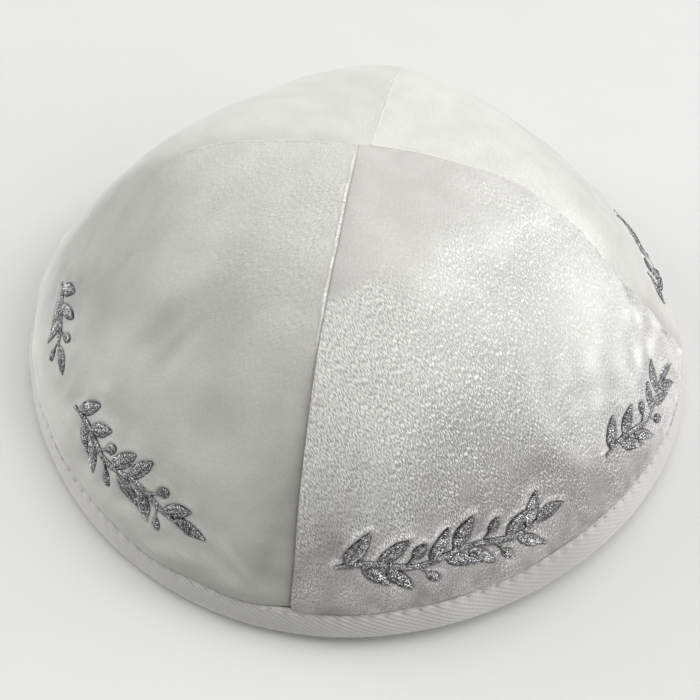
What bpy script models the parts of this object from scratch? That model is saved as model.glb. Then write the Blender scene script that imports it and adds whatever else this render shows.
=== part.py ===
# Four-panel velvet skullcap with a twill binding folded round its rim, resting on the rim.
# Metres, +Z up. The origin is the middle of the rim on the surface it rests on, and the front is -Y.

from collections import namedtuple
import math

import bmesh
import bpy
import numpy as np

# Driving sizes; SLANT is the length over the cloth from the top to the rim
RIM_RADIUS = 0.0875
CROWN_HEIGHT = 0.0558
SLANT = 1.22 * RIM_RADIUS
VELVET = 0.0020
HEM_VELVET = 0.0012
TAPE = 0.0010
TAPE_HEIGHT = 0.0077
GAP = 0.0003

# The crown's section along a seam, from the top down to the rim
Station = namedtuple("Station", "radius_share height_share")
SEAM_SECTION = [
    Station(0.00, 1.000),
    Station(0.20, 0.996),
    Station(0.45, 0.902),
    Station(0.70, 0.609),
    Station(0.88, 0.306),
    Station(1.00, 0.000),
]

# Seams by the direction in which each one runs down from the top
SEAM_AZIMUTH = {"right": -2.7, "back": 85.8, "left": 184.3, "front": 270.9}

# Panels: flat is the share that the radius loses halfway between the seams near the top, full is the
# share that it gains there at middle height, and top_shift is how far along X the panel's upper corner
# lies from the middle of the crown, so that the front and back seams do not quite meet
Panel = namedtuple("Panel", "name start end flat full top_shift")
PANELS = [
    Panel("panel_back_right", "right", "back", 0.126, 0.022, 0.0009),
    Panel("panel_back_left", "back", "left", 0.107, -0.022, 0.0009),
    Panel("panel_front_left", "left", "front", 0.118, 0.022, -0.0015),
    Panel("panel_front_right", "front", "right", 0.113, -0.022, -0.0015),
]
FLAT_FADE = 1.88

# The rim is not a true circle: waves round it as shares of its radius
Wave = namedtuple("Wave", "lobes cos_share sin_share")
RIM_WAVES = [
    Wave(2, -0.012, 0.000),
    Wave(4, 0.006, -0.001),
]
MIDDLE_OVAL = -0.008

# The soft rim touches the table along three arcs and lifts a little between them
TOUCHES = 3
FIRST_TOUCH = 7.2
RIM_LIFT = 0.00129
TOUCH_PRESS = 0.00035

# The soft crown leans: sideways moves of its top and of its middle height
TOP_LEAN = (0.0, -0.0018)
MIDDLE_LEAN = (-0.0010, -0.0008)

# Soft dents and folds pressed into the cloth; a depth below zero is a swelling.
# down is the share of the way from the top to the rim, and turn slants the fold from the rim line
Dent = namedtuple("Dent", "azimuth down half_length half_width turn depth")
DENTS = [
    Dent(240.0, 0.46, 0.0200, 0.0080, 35.0, 0.0012),
    Dent(224.0, 0.37, 0.0160, 0.0090, 10.0, -0.0006),
    Dent(324.0, 0.36, 0.0120, 0.0080, -30.0, 0.0009),
    Dent(324.0, 0.71, 0.0060, 0.0110, 12.0, 0.0010),
    Dent(317.0, 0.67, 0.0040, 0.0100, 8.0, -0.0005),
    Dent(263.0, 0.73, 0.0070, 0.0060, 30.0, 0.0008),
    Dent(354.7, 0.50, 0.0050, 0.0090, 15.0, 0.0007),
    Dent(140.0, 0.45, 0.0180, 0.0090, -25.0, 0.0009),
    Dent(40.0, 0.50, 0.0140, 0.0080, 20.0, 0.0008),
]

# The velvet rolls inwards at each seam
SEAM_ROLL_DEPTH = 0.0009
SEAM_ROLL_WIDTH = 0.0022

# The velvet swells a little above the tape, then steps in under it and ends inside the fold.
# SEAM_PUSH is how far outwards a panel moves when it is set half a gap clear of both its seams
SWELL = 0.0003
SWELL_REACH = 0.0040
STEP_CLEAR = 2.0 * GAP
STEP_REACH = 0.0016
SEAM_PUSH = 0.7 * GAP
HEM_DEPTH = TAPE + GAP + SEAM_PUSH
HEM_END = 0.0024

# The tape's outer skin: height up the rim from its lower edge and depth into the cloth.
# The inner gap is half as wide again, for the flats of the velvet's facets
RIM_THICKNESS = HEM_DEPTH + HEM_VELVET + 1.5 * GAP + TAPE
Corner = namedtuple("Corner", "height depth")
TAPE_SECTION = [
    Corner(TAPE_HEIGHT, 0.0),
    Corner(0.0038, 0.0),
    Corner(0.0012, 0.0),
    Corner(0.0003, 0.0003),
    Corner(0.0, 0.0011),
    Corner(0.0, RIM_THICKNESS - 0.0011),
    Corner(0.0003, RIM_THICKNESS - 0.0003),
    Corner(0.0012, RIM_THICKNESS),
    Corner(TAPE_HEIGHT - 0.0006, RIM_THICKNESS),
]
TAPE_STEPS = 96

# Grid of one panel: shares of the way across to the middle, closest together at the seam, the number
# of rows from the top down, and the rows near the tape in step reaches above it
ACROSS = [0.0, 0.012, 0.03, 0.065, 0.125, 0.19, 0.25, 0.31, 0.375, 0.44, 0.5]
BODY_ROWS = 13
BODY_END = 4.5
NEAR_TAPE = [2.3, 1.1, 0.6, 0.0]
HEM_ROWS = 3

SMALL = 1e-4


def smooth_between(x, knots, values):
    """Smooth curve through the knots: level at the first one and straight at the last."""
    knots = np.asarray(knots, float)
    values = np.asarray(values, float)
    steps = np.diff(knots)
    slopes = np.diff(values) / steps
    count = len(knots)
    system = np.zeros((count, count))
    target = np.zeros(count)
    system[0, 0:2] = (2.0 * steps[0], steps[0])
    target[0] = 6.0 * slopes[0]
    for i in range(1, count - 1):
        system[i, i - 1 : i + 2] = (steps[i - 1], 2.0 * (steps[i - 1] + steps[i]), steps[i])
        target[i] = 6.0 * (slopes[i] - slopes[i - 1])
    system[-1, -1] = 1.0
    bends = np.linalg.solve(system, target)
    i = np.clip(np.searchsorted(knots, x, side="right") - 1, 0, count - 2)
    t = (x - knots[i]) / steps[i]
    curve = (t ** 3 - t) * bends[i + 1] + ((1.0 - t) ** 3 - (1.0 - t)) * bends[i]
    return values[i] * (1.0 - t) + values[i + 1] * t + curve * steps[i] ** 2 / 6.0


def seam_span(panel):
    """First and last direction of a panel in radians, the last one after the first."""
    first = math.radians(SEAM_AZIMUTH[panel.start])
    last = math.radians(SEAM_AZIMUTH[panel.end])
    if last < first:
        last += 2.0 * math.pi
    return first, last


def panel_at(azimuth):
    """The panel that a direction in radians falls in."""
    for panel in PANELS:
        first, last = seam_span(panel)
        if (azimuth - first) % (2.0 * math.pi) < last - first:
            return panel
    return PANELS[0]


def rim_lift(azimuth):
    """Height of the rim over the table."""
    turn = TOUCHES * (azimuth - math.radians(FIRST_TOUCH))
    return np.maximum(RIM_LIFT * (1.0 - np.cos(turn)) - TOUCH_PRESS, 0.0)


def crown_point(panel, azimuth, down):
    """Point of the smooth outer crown: down is 0 at the top and 1 at the rim."""
    first, last = seam_span(panel)
    across = ((azimuth - first + math.pi) % (2.0 * math.pi) - math.pi) / (last - first)
    share = np.sin(np.minimum(down, 1.0) * math.pi / 2.0)
    knots = [math.asin(row.radius_share) * 2.0 / math.pi for row in SEAM_SECTION]
    height_share = smooth_between(down, knots, [row.height_share for row in SEAM_SECTION])
    middle = 4.0 * share ** 2 * (1.0 - share ** 2)
    between_seams = np.sin(math.pi * across) ** 2
    radius = share * (1.0 - panel.flat * between_seams * (1.0 - share ** FLAT_FADE))
    wide = 1.0 + middle * (panel.full * between_seams + MIDDLE_OVAL * np.cos(2.0 * azimuth))
    for wave in RIM_WAVES:
        turn = wave.lobes * azimuth
        wide = wide + share ** 2 * (wave.cos_share * np.cos(turn) + wave.sin_share * np.sin(turn))
    radius = radius * wide
    corner = panel.top_shift * (1.0 - share) ** 2
    x = RIM_RADIUS * radius * np.cos(azimuth) + TOP_LEAN[0] * height_share + MIDDLE_LEAN[0] * middle + corner
    y = RIM_RADIUS * radius * np.sin(azimuth) + TOP_LEAN[1] * height_share + MIDDLE_LEAN[1] * middle
    mean_lift = RIM_LIFT - TOUCH_PRESS
    z = CROWN_HEIGHT * height_share + mean_lift + (rim_lift(azimuth) - mean_lift) * share ** 2
    return np.stack([x, y, z], axis=-1)


def crown_normal(panel, azimuth, down):
    """Outward direction of the smooth crown."""
    down = np.clip(down, 0.01, 1.0)
    along = crown_point(panel, azimuth + SMALL, down) - crown_point(panel, azimuth - SMALL, down)
    fall = crown_point(panel, azimuth, down) - crown_point(panel, azimuth, down - SMALL)
    normal = np.cross(fall, along)
    return normal / np.linalg.norm(normal, axis=-1, keepdims=True)


def down_at_height(panel, azimuth, height):
    """The share of the way down at which the smooth crown is this high over its own rim."""
    down = np.linspace(0.6, 1.0, 401)
    heights = crown_point(panel, azimuth, down)[:, 2] - rim_lift(azimuth)
    return float(np.interp(height, heights[::-1], down[::-1]))


def dent_depth(azimuth, down):
    """How deep the dents and folds press in at a place on the crown."""
    depth = 0.0 * azimuth * down
    for dent in DENTS:
        middle = math.radians(dent.azimuth)
        turned = (azimuth - middle + math.pi) % (2.0 * math.pi) - math.pi
        sideways = turned * RIM_RADIUS * math.sin(dent.down * math.pi / 2.0)
        upwards = (dent.down - down) * SLANT
        c = math.cos(math.radians(dent.turn))
        s = math.sin(math.radians(dent.turn))
        lengthwise = (c * sideways + s * upwards) / dent.half_length
        crosswise = (c * upwards - s * sideways) / dent.half_width
        depth = depth + dent.depth * np.exp(-lengthwise ** 2 - crosswise ** 2)
    return depth


def velvet_depth(panel, azimuth, down, tape_down):
    """Depth of the velvet's outer face below the smooth crown."""
    first, last = seam_span(panel)
    reach = RIM_RADIUS * np.sin(down * math.pi / 2.0)
    seam_distance = np.minimum((azimuth - first) % (2.0 * math.pi), last - azimuth) * reach
    roll = SEAM_ROLL_DEPTH * np.exp(-(seam_distance / SEAM_ROLL_WIDTH) ** 2)
    above = (tape_down - down) * SLANT
    step = np.clip(1.0 - (above - STEP_CLEAR) / STEP_REACH, 0.0, 1.0)
    step = step * step * (3.0 - 2.0 * step)
    swell = SWELL * np.exp(-((above - SWELL_REACH) / SWELL_REACH) ** 2)
    loose = roll + dent_depth(azimuth, down) - swell
    return HEM_DEPTH * step + loose * (1.0 - step)


def grid_mesh(name, points, closed_top, closed_loop):
    """Open surface from rows of points; closed_top joins the first row into one point."""
    form = bmesh.new()
    rows = []
    for number, row in enumerate(points):
        if closed_top and number == 0:
            top = form.verts.new(row[0])
            rows.append([top] * len(row))
        else:
            rows.append([form.verts.new(point) for point in row])
    columns = len(points[0]) if closed_loop else len(points[0]) - 1
    for upper, lower in zip(rows, rows[1:]):
        for i in range(columns):
            j = (i + 1) % len(upper)
            corners = [upper[i], lower[i], lower[j], upper[j]]
            form.faces.new(list(dict.fromkeys(corners)))
    mesh = bpy.data.meshes.new(name)
    form.to_mesh(mesh)
    form.free()
    mesh.shade_smooth()
    return mesh


def cloth_material(name, colour, roughness, sheen):
    """Cloth with the colour and roughness seen on the cap."""
    material = bpy.data.materials.new(name)
    material.use_nodes = True
    shader = material.node_tree.nodes["Principled BSDF"]
    shader.inputs["Base Color"].default_value = (*colour, 1.0)
    shader.inputs["Roughness"].default_value = roughness
    shader.inputs["Metallic"].default_value = 0.0
    shader.inputs["Sheen Weight"].default_value = sheen
    return material


def place(name, mesh, material, collection):
    """Add a mesh to the cap as a piece of its own."""
    piece = bpy.data.objects.new(name, mesh)
    mesh.materials.append(material)
    collection.objects.link(piece)
    return piece


def thicken(piece, thickness):
    """Cloth wall grown inwards from the piece's outer face."""
    wall = piece.modifiers.new("cloth wall", "SOLIDIFY")
    wall.thickness = thickness
    wall.offset = -1.0
    return wall


def make_panel(panel, material, collection):
    """One velvet gore, thinned where the tape grips its hem."""
    first, last = seam_span(panel)
    shares = np.array(ACROSS + [1.0 - share for share in reversed(ACROSS[:-1])])
    azimuths = first + shares * (last - first)
    to_side = np.array([-math.sin(first) + math.sin(last), math.cos(first) - math.cos(last), 0.0])
    clear = to_side * GAP / 2.0
    columns = []
    thinness = []
    for azimuth in azimuths:
        tape_down = down_at_height(panel, azimuth, TAPE_HEIGHT)
        end_down = down_at_height(panel, azimuth, HEM_END)
        body = np.linspace(0.0, tape_down - BODY_END * STEP_REACH / SLANT, BODY_ROWS + 1)
        near_tape = tape_down - (STEP_CLEAR + np.array(NEAR_TAPE) * STEP_REACH) / SLANT
        hem = np.linspace(tape_down, end_down, HEM_ROWS)
        down = np.concatenate([body, near_tape, hem])
        depth = velvet_depth(panel, azimuth, down, tape_down)
        normal = crown_normal(panel, azimuth, down)
        columns.append(crown_point(panel, azimuth, down) - normal * depth[:, None] + clear)
        left_inside = (HEM_DEPTH + HEM_VELVET - depth) / VELVET
        thinness.append(np.clip(left_inside, HEM_VELVET / VELVET, 1.0))
    points = np.array(columns).transpose(1, 0, 2)
    mesh = grid_mesh(panel.name, points, closed_top=True, closed_loop=False)
    piece = place(panel.name, mesh, material, collection)
    factors = np.array(thinness).T[1:].reshape(-1)
    cloth = piece.vertex_groups.new(name="cloth")
    cloth.add([0], 1.0, "REPLACE")
    for number, factor in enumerate(factors):
        cloth.add([number + 1], float(factor), "REPLACE")
    wall = thicken(piece, VELVET)
    wall.vertex_group = cloth.name
    return piece


def make_binding(material, collection):
    """Twill tape folded round the rim, with a flat underside."""
    rows = []
    for corner in TAPE_SECTION:
        row = []
        for number in range(TAPE_STEPS):
            azimuth = 2.0 * math.pi * number / TAPE_STEPS
            panel = panel_at(azimuth)
            down = down_at_height(panel, azimuth, corner.height)
            point = crown_point(panel, azimuth, down) - crown_normal(panel, azimuth, down) * corner.depth
            floor = rim_lift(azimuth)
            point[2] = max(point[2], floor) if corner.height > 0.0 else floor
            row.append(point)
        rows.append(row)
    mesh = grid_mesh("rim_binding", rows, closed_top=False, closed_loop=True)
    piece = place("rim_binding", mesh, material, collection)
    thicken(piece, TAPE)
    return piece


def main():
    for old in list(bpy.data.objects):
        bpy.data.objects.remove(old, do_unlink=True)
    collection = bpy.data.collections.new("skullcap")
    bpy.context.scene.collection.children.link(collection)
    velvet = cloth_material("silver white velvet", (0.62, 0.62, 0.59), 0.55, 0.6)
    twill = cloth_material("pale grey twill", (0.42, 0.41, 0.40), 0.80, 0.1)
    for panel in PANELS:
        make_panel(panel, velvet, collection)
    make_binding(twill, collection)


main()
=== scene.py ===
from collections import namedtuple
import math

import bpy
import numpy as np
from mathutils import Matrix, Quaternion, Vector


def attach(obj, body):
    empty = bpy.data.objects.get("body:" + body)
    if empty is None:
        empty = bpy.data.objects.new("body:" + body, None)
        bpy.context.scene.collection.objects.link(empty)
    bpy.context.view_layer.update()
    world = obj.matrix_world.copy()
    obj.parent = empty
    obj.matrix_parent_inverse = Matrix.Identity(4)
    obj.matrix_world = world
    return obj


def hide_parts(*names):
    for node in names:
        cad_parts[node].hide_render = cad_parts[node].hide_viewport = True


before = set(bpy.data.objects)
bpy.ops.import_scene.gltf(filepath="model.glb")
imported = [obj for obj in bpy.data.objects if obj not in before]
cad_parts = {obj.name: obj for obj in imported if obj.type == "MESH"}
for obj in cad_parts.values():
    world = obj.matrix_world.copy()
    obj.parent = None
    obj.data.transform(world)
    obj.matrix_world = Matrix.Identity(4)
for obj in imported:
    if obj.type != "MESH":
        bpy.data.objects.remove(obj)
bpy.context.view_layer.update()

# Four-panel silver-white velvet skullcap with a twill binding and a silver embroidered border.
# Metres, +Z up, the front is -Y. Azimuths turn anticlockwise seen from above, and down is the share of
# the way over the cloth from the top of the crown to the rim.

viewForm = {
    "azimuth": 8.91,       # degrees round from the front towards +X
    "elevation": 52.17,
    "roll": 1.78,
    "target": (0.00322, -0.03473, 0.02719),
    "distance": 0.1622,
    "lens": 38.03,
}

lightForm = {
    "room": 0.22,          # strength of the even light from all round
    "backdrop": 0.80,      # how light the room looks behind the table
    "distance": 2.8,
}

floorForm = {
    "radius": 2.7,
    "sides": 96,
    "colour": (0.648, 0.646, 0.634),
    "dim": 0.97,                 # share of the colour that is left where it is worn
    "grain": 300.0,              # each metre
    "roughness": 0.65,
    "fuzzRough": 0.1,
}

# Soft lamps, with azimuths from +X towards +Y
Lamp = namedtuple("Lamp", "name azimuth elevation power size")
lamps = [
    Lamp("window", 22.0, 37.0, 43.2, 1.6),
    Lamp("right wall", -30.0, 26.0, 26.4, 1.8),
    Lamp("left wall", 168.0, 24.0, 41.6, 1.8),
    Lamp("ceiling", 98.0, 66.0, 49.6, 3.0),
]

# The crown as it is cut and sewn, with the same sizes as the solids
crownForm = {
    "rimRadius": 0.0875,
    "height": 0.0558,
    "slant": 1.22 * 0.0875,          # over the cloth from the top to the rim
    "velvet": 0.0020,
    "hemVelvet": 0.0012,
    "flatFade": 1.88,
    "middleOval": -0.008,
    "touches": 3,
    "firstTouch": 7.2,
    "rimLift": 0.00129,
    "touchPress": 0.00035,
    "topLean": (0.0, -0.0018),
    "middleLean": (-0.0010, -0.0008),
    "hemDepth": 0.00151,
    "hemEnd": 0.0024,
}

Station = namedtuple("Station", "radiusShare heightShare")
seamSection = [
    Station(0.00, 1.000),
    Station(0.20, 0.996),
    Station(0.45, 0.902),
    Station(0.70, 0.609),
    Station(0.88, 0.306),
    Station(1.00, 0.000),
]

seamAzimuth = {"right": -2.7, "back": 85.8, "left": 184.3, "front": 270.9}

Panel = namedtuple("Panel", "name start end flat full topShift")
panels = [
    Panel("panel_back_right", "right", "back", 0.126, 0.022, 0.0009),
    Panel("panel_back_left", "back", "left", 0.107, -0.022, 0.0009),
    Panel("panel_front_left", "left", "front", 0.118, 0.022, -0.0015),
    Panel("panel_front_right", "front", "right", 0.113, -0.022, -0.0015),
]

# Each panel's velvet before it was sewn: its widest, its length from top to hem and its flat area
Cut = namedtuple("Cut", "width length area")

Wave = namedtuple("Wave", "lobes cosShare sinShare")
rimWaves = [
    Wave(2, -0.012, 0.000),
    Wave(4, 0.006, -0.001),
]

# Soft dents and folds; turn slants one from the rim line, and a depth below zero is a swelling
Dent = namedtuple("Dent", "azimuth down halfLength halfWidth turn depth")
dents = [
    Dent(240.0, 0.46, 0.0200, 0.0080, 35.0, 0.0012),
    Dent(224.0, 0.37, 0.0160, 0.0090, 10.0, -0.0006),
    Dent(324.0, 0.36, 0.0120, 0.0080, -30.0, 0.0009),
    Dent(324.0, 0.71, 0.0060, 0.0110, 12.0, 0.0010),
    Dent(317.0, 0.67, 0.0040, 0.0100, 8.0, -0.0005),
    Dent(263.0, 0.73, 0.0070, 0.0060, 30.0, 0.0008),
    Dent(354.7, 0.50, 0.0050, 0.0090, 15.0, 0.0007),
    Dent(278.5, 0.54, 0.0044, 0.0015, 68.0, 0.00045),
    Dent(282.5, 0.61, 0.0036, 0.0015, 58.0, 0.00040),
    Dent(311.5, 0.65, 0.0060, 0.0026, 14.0, 0.00060),
    Dent(325.5, 0.76, 0.0034, 0.0014, -8.0, -0.00040),
    Dent(320.5, 0.78, 0.0040, 0.0016, 10.0, 0.00045),
    Dent(296.0, 0.52, 0.0060, 0.0020, 35.0, 0.00035),
    Dent(235.5, 0.425, 0.0150, 0.0026, 59.0, 0.00024),
    Dent(239.0, 0.453, 0.0090, 0.0022, 69.0, 0.00022),
    Dent(236.0, 0.455, 0.0100, 0.0022, 64.0, -0.00012),
    Dent(262.0, 0.73, 0.0055, 0.0016, -43.0, -0.00035),
    Dent(258.5, 0.73, 0.0050, 0.0018, -43.0, 0.00025),
    Dent(140.0, 0.45, 0.0180, 0.0090, -25.0, 0.0009),
    Dent(40.0, 0.50, 0.0140, 0.0080, 20.0, 0.0008),
]

small = 1e-4


# Plain helpers for meshes and numbers

def smoothBetween(x, knots, values):
    # smooth curve through the knots, level at the first one and straight at the last
    knots = np.asarray(knots, float)
    values = np.asarray(values, float)
    steps = np.diff(knots)
    slopes = np.diff(values) / steps
    count = len(knots)
    system = np.zeros((count, count))
    wanted = np.zeros(count)
    system[0, 0:2] = (2.0 * steps[0], steps[0])
    wanted[0] = 6.0 * slopes[0]
    for i in range(1, count - 1):
        system[i, i - 1:i + 2] = (steps[i - 1], 2.0 * (steps[i - 1] + steps[i]), steps[i])
        wanted[i] = 6.0 * (slopes[i] - slopes[i - 1])
    system[-1, -1] = 1.0
    bends = np.linalg.solve(system, wanted)
    i = np.clip(np.searchsorted(knots, x, side="right") - 1, 0, count - 2)
    t = (x - knots[i]) / steps[i]
    curve = (t ** 3 - t) * bends[i + 1] + ((1.0 - t) ** 3 - (1.0 - t)) * bends[i]
    return values[i] * (1.0 - t) + values[i + 1] * t + curve * steps[i] ** 2 / 6.0


def easeStep(x, low, high):
    t = np.clip((x - low) / (high - low), 0.0, 1.0)
    return t * t * (3.0 - 2.0 * t)


def softNoise(points, wavelength, seed, waves=28):
    # smooth even noise of about plus or minus one, from a fixed set of plane waves
    random = np.random.default_rng(seed)
    size = points.shape[-1]
    total = np.zeros(points.shape[:-1])
    for _ in range(waves):
        direction = random.normal(size=size)
        direction *= random.uniform(0.6, 1.4) / np.linalg.norm(direction)
        turn = points @ (direction * 2.0 * math.pi / wavelength)
        total += np.cos(turn + random.uniform(0.0, 2.0 * math.pi))
    return total / math.sqrt(waves / 2.0)


def addPiece(name, mesh):
    piece = bpy.data.objects.new(name, mesh)
    bpy.context.scene.collection.objects.link(piece)
    return piece


def setNumbers(mesh, name, values, kind="FLOAT"):
    # one value or vector for each vertex, for the materials and the node trees
    layer = mesh.attributes.new(name, kind, "POINT")
    field = "vector" if kind == "FLOAT_VECTOR" else "value"
    layer.data.foreach_set(field, np.asarray(values, np.float32).ravel())


def setUv(mesh, name, cornerPlaces):
    layer = mesh.uv_layers.new(name=name)
    layer.uv.foreach_set("vector", np.asarray(cornerPlaces, np.float32).ravel())


def wrapTurn(turn):
    # the same turn, between minus and plus half a circle
    return (turn + math.pi) % (2.0 * math.pi) - math.pi


# The crown, the same rule as the solids follow

def seamSpan(panel):
    first = math.radians(seamAzimuth[panel.start])
    last = math.radians(seamAzimuth[panel.end])
    if last < first:
        last += 2.0 * math.pi
    return first, last


def panelAt(azimuth):
    for panel in panels:
        first, last = seamSpan(panel)
        if (azimuth - first) % (2.0 * math.pi) < last - first:
            return panel
    return panels[0]


def rimLift(azimuth):
    turn = crownForm["touches"] * (azimuth - math.radians(crownForm["firstTouch"]))
    lift = crownForm["rimLift"] * (1.0 - np.cos(turn)) - crownForm["touchPress"]
    return np.maximum(lift, 0.0)


def crownPoint(panel, azimuth, down):
    first, last = seamSpan(panel)
    across = wrapTurn(azimuth - first) / (last - first)
    share = np.sin(np.minimum(down, 1.0) * math.pi / 2.0)
    knots = [math.asin(row.radiusShare) * 2.0 / math.pi for row in seamSection]
    heightShare = smoothBetween(down, knots, [row.heightShare for row in seamSection])
    middle = 4.0 * share ** 2 * (1.0 - share ** 2)
    betweenSeams = np.sin(math.pi * across) ** 2
    radius = share * (1.0 - panel.flat * betweenSeams * (1.0 - share ** crownForm["flatFade"]))
    oval = crownForm["middleOval"] * np.cos(2.0 * azimuth)
    wide = 1.0 + middle * (panel.full * betweenSeams + oval)
    for wave in rimWaves:
        turn = wave.lobes * azimuth
        wide = wide + share ** 2 * (wave.cosShare * np.cos(turn) + wave.sinShare * np.sin(turn))
    radius = crownForm["rimRadius"] * radius * wide
    corner = panel.topShift * (1.0 - share) ** 2
    topLean = crownForm["topLean"]
    middleLean = crownForm["middleLean"]
    x = radius * np.cos(azimuth) + topLean[0] * heightShare + middleLean[0] * middle + corner
    y = radius * np.sin(azimuth) + topLean[1] * heightShare + middleLean[1] * middle
    meanLift = crownForm["rimLift"] - crownForm["touchPress"]
    z = crownForm["height"] * heightShare + meanLift + (rimLift(azimuth) - meanLift) * share ** 2
    return np.stack([x, y, z], axis=-1)


def ringRadius(down):
    # of the round crown at a down share, before the panels flatten it
    return crownForm["rimRadius"] * np.sin(down * math.pi / 2.0)


def crownNormal(panel, azimuth, down):
    down = np.clip(down, 0.01, 1.0)
    along = crownPoint(panel, azimuth + small, down) - crownPoint(panel, azimuth - small, down)
    fall = crownPoint(panel, azimuth, down) - crownPoint(panel, azimuth, down - small)
    normal = np.cross(fall, along)
    return normal / np.linalg.norm(normal, axis=-1, keepdims=True)


def downAtHeight(panel, azimuth, height):
    down = np.linspace(0.6, 1.0, 401)
    heights = crownPoint(panel, azimuth, down)[:, 2] - rimLift(azimuth)
    return float(np.interp(height, heights[::-1], down[::-1]))


def dentDepth(azimuth, down):
    depth = 0.0 * azimuth * down
    for dent in dents:
        sideways = wrapTurn(azimuth - math.radians(dent.azimuth)) * ringRadius(dent.down)
        upwards = (dent.down - down) * crownForm["slant"]
        c = math.cos(math.radians(dent.turn))
        s = math.sin(math.radians(dent.turn))
        lengthwise = (c * sideways + s * upwards) / dent.halfLength
        crosswise = (c * upwards - s * sideways) / dent.halfWidth
        depth = depth + dent.depth * np.exp(-lengthwise ** 2 - crosswise ** 2)
    return depth


# Camera, floor and light

def direction(azimuth, elevation):
    # from degrees round from +X towards +Y, and degrees up
    azimuth = math.radians(azimuth)
    elevation = math.radians(elevation)
    return Vector((
        math.cos(azimuth) * math.cos(elevation),
        math.sin(azimuth) * math.cos(elevation),
        math.sin(elevation),
    ))


def setCamera():
    back = direction(viewForm["azimuth"] - 90.0, viewForm["elevation"])
    camera = bpy.data.objects.new("camera", bpy.data.cameras.new("camera"))
    camera.data.lens = viewForm["lens"]
    camera.data.clip_start = 0.01
    camera.data.clip_end = 20.0
    camera.location = Vector(viewForm["target"]) + back * viewForm["distance"]
    camera.rotation_mode = "QUATERNION"
    turn = Quaternion(back, math.radians(viewForm["roll"]))
    camera.rotation_quaternion = turn @ (-back).to_track_quat("-Z", "Y")
    bpy.context.scene.collection.objects.link(camera)
    bpy.context.scene.camera = camera


def setLights():
    for lamp in lamps:
        towards = direction(lamp.azimuth, lamp.elevation)
        light = bpy.data.objects.new(lamp.name, bpy.data.lights.new(lamp.name, "AREA"))
        light.data.size = lamp.size
        light.data.energy = lamp.power
        light.location = towards * lightForm["distance"]
        light.rotation_mode = "QUATERNION"
        light.rotation_quaternion = (-towards).to_track_quat("-Z", "Y")
        bpy.context.scene.collection.objects.link(light)
    world = bpy.data.worlds.new("pale room")
    world.use_nodes = True
    tree = world.node_tree
    background = tree.nodes["Background"]
    background.inputs["Color"].default_value = (1.0, 1.0, 0.99, 1.0)
    seen = addNode(tree, "ShaderNodeLightPath").outputs["Is Camera Ray"]
    more = lightForm["backdrop"] - lightForm["room"]
    strength = sums(tree, "MULTIPLY_ADD", seen, more, lightForm["room"])
    tree.links.new(strength, background.inputs["Strength"])
    bpy.context.scene.world = world
    bpy.context.scene.view_settings.view_transform = "Standard"


def makeFloor(wear):
    # a round pale table top
    turns = np.linspace(0.0, 2.0 * math.pi, floorForm["sides"], endpoint=False)
    radius = floorForm["radius"]
    edge = [(radius * math.cos(a), radius * math.sin(a), 0.0) for a in turns]
    mesh = bpy.data.meshes.new("table_top")
    mesh.from_pydata(edge, [], [tuple(range(len(edge)))])
    mesh.materials.append(floorMaterial(wear))
    return addPiece("table_top", mesh)


# Node helpers, for materials and geometry trees alike

def setInputs(tree, node, inputs):
    # each value is another node's output to link, or a constant
    for name, value in inputs.items():
        if isinstance(value, bpy.types.NodeSocket):
            tree.links.new(value, node.inputs[name])
        else:
            node.inputs[name].default_value = value


def addNode(tree, kind, inputs=None, **settings):
    node = tree.nodes.new(kind)
    for name, value in settings.items():
        setattr(node, name, value)
    setInputs(tree, node, inputs or {})
    return node


def sums(tree, operation, first, second=0.0, third=0.0):
    values = {0: first, 1: second, 2: third}
    return addNode(tree, "ShaderNodeMath", values, operation=operation).outputs[0]


def vectors(tree, operation, first, second):
    values = {0: first, 1: second}
    return addNode(tree, "ShaderNodeVectorMath", values, operation=operation).outputs[0]


def scaled(tree, vector, scale):
    values = {0: vector, "Scale": scale}
    return addNode(tree, "ShaderNodeVectorMath", values, operation="SCALE").outputs[0]


def addBump(tree, height, strength, distance):
    values = {"Height": height, "Strength": strength, "Distance": distance}
    return addNode(tree, "ShaderNodeBump", values).outputs[0]


def flatPlace(tree):
    # place on the flat cloth, in metres
    return addNode(tree, "ShaderNodeUVMap", uv_map="cloth").outputs[0]


def objectPlace(tree):
    return addNode(tree, "ShaderNodeTexCoord").outputs["Object"]


def storedValue(tree, name, kind="FLOAT"):
    # a value that the guide mesh carries for each of its points
    return addNode(tree, "GeometryNodeInputNamedAttribute", {"Name": name}, data_type=kind).outputs[0]


def finishTree(tree, geometry, material, end):
    real = addNode(tree, "GeometryNodeRealizeInstances", {"Geometry": geometry})
    finished = addNode(tree, "GeometryNodeSetMaterial",
                       {"Geometry": real.outputs[0], "Material": material})
    tree.links.new(finished.outputs[0], end.inputs["Geometry"])


def newGroup(name, kind, inputs, outputs):
    # inputs are rows of label, socket type and value; returns the tree, its two end nodes and the ids
    tree = bpy.data.node_groups.new(name, kind)
    ids = {}
    for label, socketType, value in inputs:
        socket = tree.interface.new_socket(label, in_out="INPUT", socket_type=socketType)
        if value is not None:
            socket.default_value = value
        ids[label] = socket.identifier
    for label, socketType in outputs:
        tree.interface.new_socket(label, in_out="OUTPUT", socket_type=socketType)
    return tree, tree.nodes.new("NodeGroupInput"), tree.nodes.new("NodeGroupOutput"), ids


def useGroup(tree, group, inputs):
    return addNode(tree, "ShaderNodeGroup", inputs, node_tree=group)


def newMaterial(name):
    material = bpy.data.materials.new(name)
    material.use_nodes = True
    return material, material.node_tree, material.node_tree.nodes["Principled BSDF"]


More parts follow.
